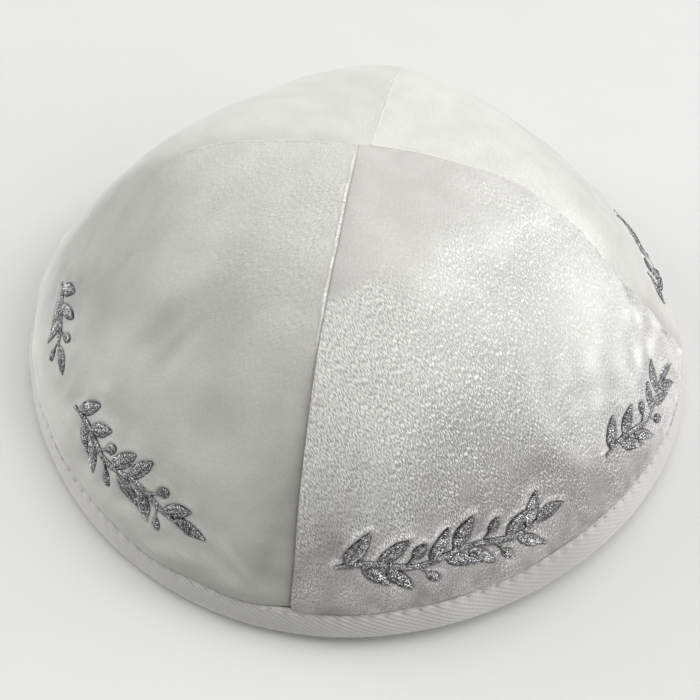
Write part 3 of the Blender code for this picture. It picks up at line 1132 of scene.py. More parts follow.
velvetForm = {
    "columns": 372,
    "bodyRows": (84, 66, 12),
    "bodyParts": (0.0, 0.70, 0.985, 1.0),
    "hemRows": 4,
    "seamGather": 0.75,          # how much closer the columns lie right at the seams
    "gatherReach": 0.03,
    "innerStep": 4,
    "leastRadius": 0.0005,
    "gap": 0.000012,
    "creaseDepth": 0.00028,
    "creaseWidth": 0.00022,
    "ridgePlace": 0.00045,
    "ridgeWidth": 0.00028,
    "beads": 0.35,               # how uneven the ridge is
    "beadLength": 0.0030,
    # the painted highlight along the seams' ridges, and how far the painted shade beside them reaches
    "palePlace": 0.00034,
    "paleWidth": 0.00020,
    "paleMiddle": 0.7,
    "paleUneven": 0.50,
    "paleMost": 1.5,
    "paleLength": 0.0040,
    "paleFade": (0.01, 0.05),
    "toneReach": 0.0036,
    "openedAtTop": 0.3,          # share of the seams' form where the four panels meet
    "openedBy": 0.07,
    "pucker": 0.00014,
    "levelReach": 0.0060,
    "puckerReach": 0.0050,
    "puckerLength": 0.0052,
    "puckerStart": 0.0012,
    "slack": 0.00017,
    "changeWander": 0.02,        # of the down share where the pile changes, and over what length
    "changeLength": 0.012,
    "fleckLimits": (0.05, 2.0),
    "warmAbove": 0.35,
    "warmFrom": (0.45, 0.85),
    "streakFrom": (0.42, 0.70),
    "streakLength": 0.0080,
    "streakFleck": 0.34,
    "streakShade": 0.05,
    "hemCalm": 0.50,             # how far the flecks fade towards the tape
    "darkest": -0.50,            # lowest value of the pile's tone with its painted shade
    "hemMottle": 0.070,          # how blotchy the handled pile is there
    "mottleLength": 0.0034,
    "hemCalmFrom": (0.72, 0.86),
    "slackLength": 0.021,
    "swell": 0.00035,
    "swellReach": 0.0040,
    "swellUneven": 0.5,
    "swellLength": 0.012,
    "innerSink": 0.0012,         # the deepest fold that the inside follows
    "stepClear": 0.00002,
    "stepReach": 0.00036,
}

# The velvet beside each seam, going round anticlockwise before it and after it: a fine raised edge, a
# soft roll into the seam and how far it reaches, high on the crown and lower down
SeamEdge = namedtuple("SeamEdge", "crease ridgeHigh ridgeLow rollHigh rollLow reachHigh reachLow pucker")
seamEdges = {
    ("front", "before"): SeamEdge(0.6, 0.00026, 0.00000, 0.00010, 0.00095, 0.0014, 0.0036, 0.3),
    ("front", "after"): SeamEdge(0.6, 0.00000, 0.00014, 0.00034, 0.00022, 0.0018, 0.0012, 0.5),
    ("right", "before"): SeamEdge(0.0, 0.00006, 0.00012, 0.00004, 0.00006, 0.0020, 0.0024, 2.3),
    ("right", "after"): SeamEdge(0.0, 0.00000, 0.00000, 0.00006, 0.00040, 0.0020, 0.0026, 1.2),
    ("back", "before"): SeamEdge(0.3, 0.00014, 0.00006, 0.00014, 0.00030, 0.0020, 0.0024, 0.8),
    ("back", "after"): SeamEdge(0.3, 0.00006, 0.00012, 0.00014, 0.00030, 0.0020, 0.0024, 0.8),
    ("left", "before"): SeamEdge(0.1, 0.00000, 0.00004, 0.00034, 0.00036, 0.0026, 0.0026, 0.8),
    ("left", "after"): SeamEdge(0.1, 0.00014, 0.00004, 0.00008, 0.00030, 0.0018, 0.0026, 0.8),
}

# Painted light beside each seam: a painted highlight on the ridge itself, and next to it a band of painted
# shade, lighter in a few places
SeamLight = namedtuple("SeamLight", "paleHigh paleLow toneHigh toneLow")
seamLighting = {
    ("front", "before"): SeamLight(0.80, 0.05, 0.00, -0.05),
    ("front", "after"): SeamLight(0.00, 0.10, -0.04, 0.00),
    ("right", "before"): SeamLight(0.22, 0.30, 0.00, 0.10),
    ("right", "after"): SeamLight(0.10, 0.00, -0.02, -0.16),
    ("back", "before"): SeamLight(0.35, 0.20, -0.03, -0.03),
    ("back", "after"): SeamLight(0.10, 0.10, -0.03, -0.03),
    ("left", "before"): SeamLight(0.00, 0.00, -0.12, -0.05),
    ("left", "after"): SeamLight(0.50, 0.20, 0.00, 0.00),
}

# How far each seam wanders sideways from its even line, and over what length
SeamLine = namedtuple("SeamLine", "wander length start")
seamLines = {
    "right": SeamLine(0.00030, 0.0062, 0.30),
    "back": SeamLine(0.00010, 0.022, 0.02),
    "left": SeamLine(0.00012, 0.014, 0.02),
    "front": SeamLine(0.00004, 0.022, 0.02),
}
seamChange = (0.27, 0.42)        # down shares between which a seam goes over to its lower form

# How the pile lies in each panel, with painted light: the strength of its flecks above and below the
# change, partly the pile's own flecks and partly painted glints of its sheen, the down shares of the
# change, and how much lighter or darker it is, partly the pile's brushed tone and partly painted
# highlight and painted shade for the light that each panel gets, which was fitted to the photo; warm is
# how far it goes over to the warmer colours. How the pile lies in each panel: the strength of its
# flecks above and below the change, the down shares of the change, and how much lighter it is brushed,
# which was fitted to the photo by a script
NapAndLightBase = namedtuple("NapAndLightBase", "fleckAbove fleckBelow changeFrom changeTo shadeAbove shadeBelow warm")
napAndLightBase = {
    "panel_front_right": NapAndLightBase(0.05, 1.00, 0.24, 0.36, -0.26, 0.17, 1.0),
    "panel_front_left": NapAndLightBase(0.28, 0.08, 0.20, 0.46, -0.18, -0.30, 0.0),
    "panel_back_right": NapAndLightBase(0.07, 0.07, 0.30, 0.50, -0.08, -0.18, 0.4),
    "panel_back_left": NapAndLightBase(0.07, 0.07, 0.30, 0.50, -0.14, -0.16, 0.2),
}

# Patches of pile brushed another way, with painted light: the fleck column sets how strongly the
# flecks show, partly the pile's own and partly painted glints, and the shade column is painted
# highlight and painted shade together with the pile's tone, such as the bright sheen on the front right
# panel and the darker pile above the tape. The first 22 rows, as far as azimuth 352, were fitted to the
# light and dark of the photo by a script, and the other ten were set by hand.
NapAndLightPlace = namedtuple("NapAndLightPlace", "azimuth down halfAround halfDown fleck shade")
napAndLightPlaces = [
    NapAndLightPlace(196.0, 0.48, 0.016, 0.016, 0.00, -0.51),
    NapAndLightPlace(208.0, 0.88, 0.036, 0.012, 0.00, 0.46),
    NapAndLightPlace(244.0, 0.32, 0.010, 0.010, 0.00, -0.11),
    NapAndLightPlace(264.0, 0.64, 0.010, 0.030, 0.00, 0.10),
    NapAndLightPlace(276.0, 0.88, 0.010, 0.030, 0.00, -0.59),
    NapAndLightPlace(280.0, 0.88, 0.036, 0.012, 0.00, -0.49),
    NapAndLightPlace(296.0, 0.52, 0.010, 0.010, 0.00, -0.20),
    NapAndLightPlace(296.0, 0.64, 0.026, 0.014, 0.00, -0.46),
    NapAndLightPlace(300.0, 0.40, 0.010, 0.010, 0.00, 0.19),
    NapAndLightPlace(304.0, 0.80, 0.036, 0.012, 0.00, -0.90),
    NapAndLightPlace(312.0, 0.36, 0.010, 0.010, 0.00, 0.29),
    NapAndLightPlace(312.0, 0.80, 0.010, 0.030, 0.00, -0.46),
    NapAndLightPlace(316.0, 0.80, 0.010, 0.010, 0.00, -0.40),
    NapAndLightPlace(316.0, 0.88, 0.010, 0.010, 0.00, -0.65),
    NapAndLightPlace(324.0, 0.56, 0.010, 0.010, 0.00, 0.46),
    NapAndLightPlace(328.0, 0.40, 0.010, 0.010, 0.00, 0.43),
    NapAndLightPlace(332.0, 0.88, 0.010, 0.030, 0.00, -0.29),
    NapAndLightPlace(336.0, 0.44, 0.016, 0.016, 0.00, 0.85),
    NapAndLightPlace(340.0, 0.28, 0.010, 0.010, 0.00, -0.13),
    NapAndLightPlace(344.0, 0.56, 0.010, 0.010, 0.00, 0.35),
    NapAndLightPlace(348.0, 0.44, 0.010, 0.010, 0.00, 0.52),
    NapAndLightPlace(352.0, 0.52, 0.010, 0.010, 0.00, 0.17),
    NapAndLightPlace(252.0, 0.16, 0.010, 0.010, 0.10, 0.00),
    NapAndLightPlace(280.0, 0.72, 0.010, 0.012, -0.50, 0.00),
    NapAndLightPlace(300.0, 0.76, 0.036, 0.012, -0.20, 0.00),
    NapAndLightPlace(332.0, 0.50, 0.034, 0.026, 0.55, 0.00),
    NapAndLightPlace(340.5, 0.45, 0.013, 0.0095, -0.60, 0.25),
    NapAndLightPlace(336.0, 0.53, 0.012, 0.010, -0.40, 0.25),
    NapAndLightPlace(347.0, 0.22, 0.006, 0.006, 0.30, 0.25),
    NapAndLightPlace(273.0, 0.68, 0.010, 0.014, 0.00, -0.18),
    NapAndLightPlace(312.0, 0.80, 0.012, 0.009, 0.00, -0.30),
    NapAndLightPlace(286.0, 0.88, 0.030, 0.009, 0.45, 0.00),
]


def nearness(azimuth, down, spot):
    around = wrapTurn(azimuth - math.radians(spot.azimuth)) * ringRadius(down)
    upwards = (spot.down - down) * crownForm["slant"]
    return np.exp(-(around / spot.halfAround) ** 2 - (upwards / spot.halfDown) ** 2)


def seamWander(name, down):
    # small sideways wander of a seam line, in metres, the same for both its panels
    seed = list(seamAzimuth).index(name) + 1
    place = np.stack([down * crownForm["slant"], 0.0 * down], axis=-1)
    wander = seamLines[name].wander * softNoise(place, seamLines[name].length, 40 + seed, 8)
    start = seamLines[name].start
    return wander * easeStep(down, start, start + 0.10)


def seamStep(name, side, down):
    # how far the panel on one side of a seam must sink for both panels to meet level there
    azimuth = math.radians(seamAzimuth[name])
    mine = next(p for p in panels if (p.start if side == "after" else p.end) == name)
    other = next(p for p in panels if (p.end if side == "after" else p.start) == name)
    between = crownPoint(mine, azimuth, down) - crownPoint(other, azimuth, down)
    return 0.5 * (between * crownNormal(mine, azimuth, down)).sum(axis=-1)


def looseDepth(panel, azimuth, down, seamBefore, seamAfter):
    # depth of the velvet's face under the smooth crown, apart from the embroidery and the hem
    form = velvetForm
    place = crownPoint(panel, azimuth, down)
    depth = dentDepth(azimuth, down) - form["slack"] * softNoise(place, form["slackLength"], 11)
    lower = easeStep(down, *seamChange)
    opened = form["openedAtTop"] + (1.0 - form["openedAtTop"]) * easeStep(down, 0.0, form["openedBy"])
    sinks = []
    for name, distance, side in ((panel.start, seamBefore, "after"), (panel.end, seamAfter, "before")):
        edge = seamEdges[(name, side)]
        depth = depth + seamStep(name, side, down) * np.exp(-(distance / form["levelReach"]) ** 2)
        ridge = edge.ridgeHigh + (edge.ridgeLow - edge.ridgeHigh) * lower
        roll = edge.rollHigh + (edge.rollLow - edge.rollHigh) * lower
        reach = edge.reachHigh + (edge.reachLow - edge.reachHigh) * lower
        along = np.stack([down * crownForm["slant"], 0.35 * distance], axis=-1)
        seed = 60 + 2 * list(seamAzimuth).index(name) + (side == "after")
        beads = 1.0 + form["beads"] * softNoise(along, form["beadLength"], seed + 20, 12)
        sink = edge.crease * form["creaseDepth"] * np.exp(-(distance / form["creaseWidth"]) ** 2)
        sink = sink + roll * np.exp(-(distance / reach) ** 2)
        sink = sink - ridge * beads * np.exp(-((distance - form["ridgePlace"]) / form["ridgeWidth"]) ** 2)
        ripple = softNoise(along, form["puckerLength"], seed, 16) * np.exp(-distance / form["puckerReach"])
        started = easeStep(distance, 0.0, form["puckerStart"])
        sink = sink + form["pucker"] * edge.pucker * ripple * started
        sinks.append(sink)
    deepest = np.where(np.abs(sinks[0]) > np.abs(sinks[1]), sinks[0], sinks[1])
    return depth + deepest * opened


def seamHighlightAndShade(panel, down, seamBefore, seamAfter):
    # painted highlight on the seams' ridges, and painted shade and light beside them
    form = velvetForm
    lower = easeStep(down, *seamChange)
    pale = 0.0 * down
    tone = 0.0 * down
    for name, distance, side in ((panel.start, seamBefore, "after"), (panel.end, seamAfter, "before")):
        pile = seamLighting[(name, side)]
        along = np.stack([down * crownForm["slant"], 0.2 * distance], axis=-1)
        seed = 90 + 2 * list(seamAzimuth).index(name) + (side == "after")
        beads = form["paleMiddle"] + form["paleUneven"] * softNoise(along, form["paleLength"], seed, 12)
        beads = np.clip(beads, 0.0, form["paleMost"])
        band = np.exp(-((distance - form["palePlace"]) / form["paleWidth"]) ** 2)
        pale = pale + (pile.paleHigh + (pile.paleLow - pile.paleHigh) * lower) * beads * band
        wide = np.exp(-(distance / form["toneReach"]) ** 2)
        tone = tone + (pile.toneHigh + (pile.toneLow - pile.toneHigh) * lower) * wide
    fade = easeStep(down, *form["paleFade"])
    return pale * fade, tone * fade


def seamDistances(panel, azimuth, down):
    first, last = seamSpan(panel)
    turned = (azimuth - first + math.pi / 2.0) % (2.0 * math.pi) - math.pi / 2.0
    reach = ringRadius(np.clip(down, 0.0, 1.0))
    before = turned * reach - seamWander(panel.start, down)
    after = (last - first - turned) * reach + seamWander(panel.end, down)
    return np.maximum(before, 0.0), np.maximum(after, 0.0)


def panelPlaces(panel):
    # azimuths and down shares of the grid, and the down share of the tape's upper edge in each column
    form = velvetForm
    first, last = seamSpan(panel)
    even = np.linspace(0.0, 1.0, form["columns"] + 1)
    reach = form["gatherReach"]
    gather = reach * (1.0 - np.exp(-even / reach)) - reach * (1.0 - np.exp((even - 1.0) / reach))
    shares = even - form["seamGather"] * gather
    shares = (shares - shares[0]) / (shares[-1] - shares[0])
    azimuths = first + shares * (last - first)
    parts = form["bodyParts"]
    body = np.concatenate([
        np.linspace(low, high, rows, endpoint=False)
        for low, high, rows in zip(parts, parts[1:], form["bodyRows"])
    ] + [[1.0]])
    tapeDown = np.array([downAtHeight(panel, a, tapeForm["height"]) for a in azimuths])
    endDown = np.array([downAtHeight(panel, a, crownForm["hemEnd"]) for a in azimuths])
    hem = np.linspace(0.0, 1.0, form["hemRows"] + 1)[1:]
    down = np.concatenate([
        body[:, None] * tapeDown[None, :],
        tapeDown[None, :] + hem[:, None] * (endDown - tapeDown)[None, :],
    ])
    radius = np.maximum(ringRadius(down), form["leastRadius"])
    startShift = seamWander(panel.start, down) / radius
    endShift = seamWander(panel.end, down) / radius
    azimuth = azimuths[None, :] + startShift * (1.0 - shares) + endShift * shares
    return azimuth, down, tapeDown


def clothPlace(panel, azimuth, down):
    # place on the flat cloth in metres: across from the panel's middle line and down from the top
    first, last = seamSpan(panel)
    across = (azimuth - (first + last) / 2.0) * ringRadius(down)
    return np.stack([across, -down * crownForm["slant"]], axis=-1)


def gridFaces(rows, columns, offset, outward):
    # quads between the rows of a grid whose first row is one point
    faces = []
    top = offset
    for i in range(columns):
        a = offset + 1 + i
        faces.append((top, a, a + 1) if outward else (top, a + 1, a))
    for row in range(rows - 2):
        start = offset + 1 + row * (columns + 1)
        for i in range(columns):
            a = start + i
            b = a + columns + 1
            faces.append((a, b, b + 1, a + 1) if outward else (a, a + 1, b + 1, b))
    return faces


def gridEdge(rows, columns, offset):
    # the grid's border from the top down one seam, along the hem and up the other, with places along it
    down = [(offset + 1 + row * (columns + 1), (row + 1) / (rows - 1)) for row in range(rows - 1)]
    hem = [(offset + 1 + (rows - 2) * (columns + 1) + i, 1.0 + i / columns) for i in range(1, columns + 1)]
    up = [(offset + 1 + row * (columns + 1) + columns, 3.0 - (row + 1) / (rows - 1))
          for row in range(rows - 3, -1, -1)]
    return [(offset, 0.0)] + down + hem + up + [(offset, 3.0)]


def joinEdges(outer, inner):
    # triangles between two borders that run side by side
    faces = []
    i = j = 0
    while i < len(outer) - 1 or j < len(inner) - 1:
        nextOuter = outer[i + 1][1] if i < len(outer) - 1 else 9.0
        nextInner = inner[j + 1][1] if j < len(inner) - 1 else 9.0
        if nextOuter <= nextInner:
            face = (outer[i][0], inner[j][0], outer[i + 1][0])
            i += 1
        else:
            face = (outer[i][0], inner[j][0], inner[j + 1][0])
            j += 1
        if len(set(face)) == 3:
            faces.append(face)
    return faces


def makePanel(panel, field, cell, velvet, backing):
    form = velvetForm
    azimuth, down, tapeDown = panelPlaces(panel)
    before, after = seamDistances(panel, azimuth, down)
    loose = looseDepth(panel, azimuth, down, before, after)
    away = strokeDistance(field, cell, azimuth, down)
    pressed = 1.0 - easeStep(away, *sprigForm["pressEdge"])
    look = sprigForm["sideLook"]
    upper = strokeDistance(field, cell, azimuth, down - look)
    lower = strokeDistance(field, cell, azimuth, down + look)
    crownSide = np.clip((upper - lower) / (2.0 * look * crownForm["slant"]), 0.0, 1.0)
    # pile raised round the stitches: a real swelling and, in the colour, a painted highlight, mostly on the
    # crown side of each stroke
    raised = np.exp(-((away - sprigForm["haloPlace"]) / sprigForm["haloWidth"]) ** 2) * (away > 0.0)
    below = sprigForm["haloBelow"]
    raised = raised * (below + (1.0 - below) * crownSide) * haloAndHighlightShare[panel.name]
    place = crownPoint(panel, azimuth, down)
    near = np.exp(-(np.maximum(away, 0.0) / sprigForm["pullReach"]) ** 2)
    ripple = 0.65 + 0.5 * softNoise(place, sprigForm["pullLength"], 23)
    worked = sprigForm["press"] * pressed - sprigForm["halo"] * raised
    worked = worked + sprigForm["pull"] * near * ripple
    above = (tapeDown[None, :] - down) * crownForm["slant"]
    step = 1.0 - easeStep(above, form["stepClear"], form["stepClear"] + form["stepReach"])
    swell = form["swell"] * np.exp(-((above - form["swellReach"]) / form["swellReach"]) ** 2)
    swell = swell * (1.0 + form["swellUneven"] * softNoise(place, form["swellLength"], 31))
    quiet = (loose - swell) * (1.0 - step)
    depth = crownForm["hemDepth"] * step + quiet + worked * (1.0 - step)
    calm = crownForm["hemDepth"] * step + np.minimum(quiet, form["innerSink"])
    inner = calm + np.clip(crownForm["hemDepth"] + crownForm["hemVelvet"] - calm,
                           crownForm["hemVelvet"], crownForm["velvet"])
    normal = crownNormal(panel, azimuth, down)
    first, last = seamSpan(panel)
    toSide = np.array([-math.sin(first) + math.sin(last), math.cos(first) - math.cos(last), 0.0])
    toSide *= form["gap"] / 2.0
    outerPoints = place - normal * depth[..., None] + toSide
    innerPoints = place - normal * inner[..., None] + toSide
    rows, columns = azimuth.shape
    innerRows = sorted(set(range(0, rows, form["innerStep"])) | {rows - 1})
    innerColumns = sorted(set(range(0, columns, form["innerStep"])) | {columns - 1})
    picked = np.ix_(innerRows, innerColumns)
    count = 1 + (rows - 1) * columns
    points = np.concatenate([
        outerPoints[0, :1], outerPoints[1:].reshape(-1, 3),
        innerPoints[0, :1], innerPoints[picked][1:].reshape(-1, 3),
    ])
    outerFaces = gridFaces(rows, columns - 1, 0, True)
    innerFaces = gridFaces(len(innerRows), len(innerColumns) - 1, count, False)
    outerEdge = gridEdge(rows, columns - 1, 0)
    innerEdge = gridEdge(len(innerRows), len(innerColumns) - 1, count)
    edgeFaces = joinEdges(outerEdge, innerEdge)
    faces = outerFaces + edgeFaces + innerFaces
    mesh = bpy.data.meshes.new(panel.name + "_cloth")
    mesh.from_pydata(points, [], faces)
    mesh.materials.append(velvet)
    mesh.materials.append(backing)
    slots = np.zeros(len(faces), np.int32)
    slots[len(outerFaces) + len(edgeFaces):] = 1
    mesh.polygons.foreach_set("material_index", slots)
    flat = clothPlace(panel, azimuth, down)
    flat = np.concatenate([
        flat[0, :1], flat[1:].reshape(-1, 2),
        flat[0, :1], flat[picked][1:].reshape(-1, 2),
    ])
    corners = np.zeros(len(mesh.loops), np.int32)
    mesh.loops.foreach_get("vertex_index", corners)
    setUv(mesh, "cloth", flat[corners])
    base = napAndLightBase[panel.name]
    wander = form["changeWander"] * softNoise(place, form["changeLength"], 37)
    change = easeStep(down + wander, base.changeFrom, base.changeTo)
    fleck = base.fleckAbove + (base.fleckBelow - base.fleckAbove) * change
    # painted highlight on the seams' ridges and painted shade beside them
    pale, tone = seamHighlightAndShade(panel, down, before, after)
    # the panels' lighter and darker parts, the patches' shade and the seams' bands are painted highlight and
    # painted shade together with the pile's tone
    shade = base.shadeAbove + (base.shadeBelow - base.shadeAbove) * change + tone
    for spot in napAndLightPlaces:
        fleck = fleck + spot.fleck * nearness(azimuth, down, spot)
        shade = shade + spot.shade * nearness(azimuth, down, spot)
    shade = np.maximum(shade, form["darkest"])
    fleck = fleck * (1.0 - form["hemCalm"] * easeStep(down, *form["hemCalmFrom"]))
    streaks = base.fleckBelow * easeStep(down, *form["streakFrom"])
    streaks = streaks * softNoise(place, form["streakLength"], 71)
    fleck = fleck * (1.0 + form["streakFleck"] * streaks)
    shade = shade + form["streakShade"] * streaks
    handled = base.fleckBelow * easeStep(down, *form["hemCalmFrom"])
    shade = shade + form["hemMottle"] * handled * softNoise(place, form["mottleLength"], 83)
    innerCount = len(points) - count
    above = form["warmAbove"]
    warm = base.warm * (above + (1.0 - above) * easeStep(down, *form["warmFrom"]))
    fleck = np.clip(fleck, *form["fleckLimits"])
    for name, values in (("napFleck", fleck), ("pileToneAndPaintedLight", shade), ("napWarm", warm),
                         ("raisedPileHighlight", raised + pale)):
        whole = np.concatenate([values[0, :1], values[1:].ravel(), np.zeros(innerCount)])
        setNumbers(mesh, name, whole)
    # the cut edges are sharp
    smooth = np.ones(len(faces), bool)
    smooth[len(outerFaces):len(outerFaces) + len(edgeFaces)] = False
    mesh.polygons.foreach_set("use_smooth", smooth)
    mesh.validate()
    piece = addPiece(panel.name + "_cloth", mesh)
    print("velvet panel", panel.name, len(mesh.polygons), "faces")
    return piece


# Binding: twill tape folded round the rim, with its ribs and stitch holes

tapeForm = {
    "height": 0.0077,
    "thickness": 0.0010,
    "rimThickness": 0.00416,
    "innerDrop": 0.0006,         # of the inner edge below the outer one
    "cutWidth": 0.0195,          # of the tape before it was folded
    "columns": 1200,
    "coarseColumns": 240,
    "faceRows": 32,
    "innerRows": 16,
    "ribPitch": 0.00094,         # down the tape
    "ribSlant": 27.0,            # degrees from the tape's length
    "ribHeight": 0.00007,
    "ribMiddle": 0.64,           # mean of the ribs' rounded profile
    "ribWorn": 0.35,             # how strong the ribs stay where the tape is pressed flat
    "ribFresh": (270.0, 36.0),   # degrees round the rim where they stand full, and how far either way
    "yarnLength": 0.00095,
    "stitchPitch": 0.0034,
    "stitchDrop": 0.00070,       # of the stitch line below the tape's edge
    "holeDepth": 0.00014,
    "holeRadius": 0.00036,
    "grooveDepth": 0.00005,
    "grooveWidth": 0.0006,
    "threadWidth": 0.00024,
    "threadRise": 0.00012,
    "threadArch": 0.8,
    "threadUneven": 0.06,
    "threadSeed": 11,
    "threadReach": 0.36,         # of the stitch pitch, either way
    "threadLift": 0.00006,
    "threadSink": 0.00016,
    "puckerHeight": 0.00010,
    "puckerWidth": 0.0011,
    "wave": 0.00012,
    "waveLength": 0.016,
    "waveFrom": (0.0010, 0.0035),
    "edgeShare": 0.3,            # of the ribs' height that shows on the tape's two edges
}

# Painted light and shade round the rim: where the twill is painted a little paler or greyer for the light it
# gets, in degrees
TapeLight = namedtuple("TapeLight", "azimuth halfWidth shade")
tapeLightPlaces = [
    TapeLight(214.0, 22.0, 0.30),
    TapeLight(272.0, 22.0, -0.26),
    TapeLight(309.0, 10.0, -0.45),
    TapeLight(348.0, 20.0, 0.10),
]


def rimLength():
    turns = np.linspace(0.0, 2.0 * math.pi, 721)
    places = np.array([crownPoint(panelAt(a), a, 0.97) for a in turns])
    return float(np.linalg.norm(np.diff(places, axis=0), axis=1).sum())


def tapeSection():
    # rows of height, depth into the cloth and distance over the tape from its outer edge, all round it
    form = tapeForm
    wide = form["rimThickness"]
    thick = form["thickness"]
    top = form["height"]
    outer = [(h, 0.0) for h in np.linspace(top - 0.0004, 0.0023, form["faceRows"])]
    outer = [(top - 0.00002, 0.00042), (top - 0.00012, 0.00014)] + outer
    under = [(0.0017, 0.00008), (0.0011, 0.00028), (0.0006, 0.00064), (0.00024, 0.00110), (0.00005, 0.00160),
             (0.0, 0.0021), (0.0, wide - 0.0011), (0.00012, wide - 0.00055), (0.0004, wide - 0.0002)]
    innerTop = top - form["innerDrop"]
    inner = [(h, wide) for h in np.linspace(0.0013, innerTop - 0.0004, form["innerRows"])]
    inner = inner + [(innerTop - 0.0001, wide - 0.00014), (innerTop, wide - 0.0004)]
    hidden = [(innerTop - 0.0001, wide - thick + 0.0001), (0.0040, wide - thick), (0.0014, wide - thick),
              (0.0010, wide / 2.0), (0.0014, thick), (0.0040, thick), (top - 0.0001, thick - 0.0001)]
    section = np.array(outer + under + inner + hidden)
    over = np.concatenate([[0.0], np.cumsum(np.linalg.norm(np.diff(section, axis=0), axis=1))])
    shown = len(outer) + len(under) + len(inner)
    return section, over, shown


def tapeTree():
    # raises the ribs and presses in the needle holes and the stitch line
    tree, start, end, ids = newGroup(
        "twillRibs", "GeometryNodeTree",
        [("Geometry", "NodeSocketGeometry", None), ("Rib Pitch", "NodeSocketFloat", 0.0012),
         ("Ribs Each Metre", "NodeSocketFloat", 470.0), ("Rib Height", "NodeSocketFloat", 0.0001),
         ("Hole Pitch", "NodeSocketFloat", 0.0034), ("Hole Depth", "NodeSocketFloat", 0.0003),
         ("Hole Radius", "NodeSocketFloat", 0.0004), ("Groove Depth", "NodeSocketFloat", 0.0001),
         ("Groove Width", "NodeSocketFloat", 0.0008), ("Pucker Height", "NodeSocketFloat", 0.0001),
         ("Pucker Width", "NodeSocketFloat", 0.0014), ("Material", "NodeSocketMaterial", None)],
        [("Geometry", "NodeSocketGeometry")])
    tree.is_modifier = True
    given = start.outputs
    along = storedValue(tree, "alongTape")
    over = storedValue(tree, "overTape")
    toStitch = storedValue(tree, "toStitchLine")

    def hump(away, width):
        # falls from 1 on the line to 0 away from it
        share = sums(tree, "POWER", sums(tree, "DIVIDE", away, width), 2.0)
        return sums(tree, "EXPONENT", sums(tree, "MULTIPLY", share, -1.0))

    across = sums(tree, "MULTIPLY", along, given["Ribs Each Metre"])
    rib = sums(tree, "SUBTRACT", sums(tree, "DIVIDE", over, given["Rib Pitch"]), across)
    ribShare = sums(tree, "MULTIPLY_ADD", ribProfile(tree, rib), 2.0, -1.0)
    ribRise = sums(tree, "MULTIPLY", ribShare, given["Rib Height"])
    ribRise = sums(tree, "MULTIPLY", ribRise, storedValue(tree, "ribStrength"))
    holeTurn = sums(tree, "DIVIDE", along, given["Hole Pitch"])
    holeTurn = sums(tree, "SUBTRACT", sums(tree, "FRACT", holeTurn), 0.5)
    toHole = sums(tree, "MULTIPLY", holeTurn, given["Hole Pitch"])
    holeAway = sums(tree, "ADD", sums(tree, "MULTIPLY", toHole, toHole),
                    sums(tree, "MULTIPLY", toStitch, toStitch))
    holeShare = sums(tree, "DIVIDE", holeAway, sums(tree, "POWER", given["Hole Radius"], 2.0))
    hole = sums(tree, "MULTIPLY", sums(tree, "EXPONENT", sums(tree, "MULTIPLY", holeShare, -1.0)),
                given["Hole Depth"])
    groove = sums(tree, "MULTIPLY", hump(toStitch, given["Groove Width"]), given["Groove Depth"])
    rise = sums(tree, "SUBTRACT", sums(tree, "SUBTRACT", ribRise, hole), groove)
    puckerTurn = sums(tree, "COSINE", sums(tree, "MULTIPLY", holeTurn, 2.0 * math.pi))
    pucker = sums(tree, "MULTIPLY", puckerTurn, hump(toStitch, given["Pucker Width"]))
    pucker = sums(tree, "MULTIPLY", pucker, given["Pucker Height"])
    rise = sums(tree, "SUBTRACT", rise, pucker)
    rise = sums(tree, "MULTIPLY", rise, storedValue(tree, "shownTape"))
    normal = addNode(tree, "GeometryNodeInputNormal").outputs[0]
    moved = addNode(tree, "GeometryNodeSetPosition",
                    {"Geometry": given["Geometry"], "Offset": scaled(tree, normal, rise)})
    finishTree(tree, moved.outputs[0], given["Material"], end)
    return tree, ids


def tapeRow(azimuths, height, depth):
    # one line round the rim at a height over its lower edge
    row = []
    for azimuth in azimuths:
        panel = panelAt(azimuth)
        down = downAtHeight(panel, azimuth, max(height, 0.0))
        point = crownPoint(panel, azimuth, down) - crownNormal(panel, azimuth, down) * depth
        floor = float(rimLift(azimuth))
        point[2] = max(point[2], floor) if height > 0.0 else floor
        row.append(point)
    return np.array(row)


def roundNearness(azimuths, middle, halfWidth):
    # 1 at a place round the rim, in degrees, and less away from it
    away = np.degrees(wrapTurn(azimuths - math.radians(middle)))
    return np.exp(-(away / halfWidth) ** 2)


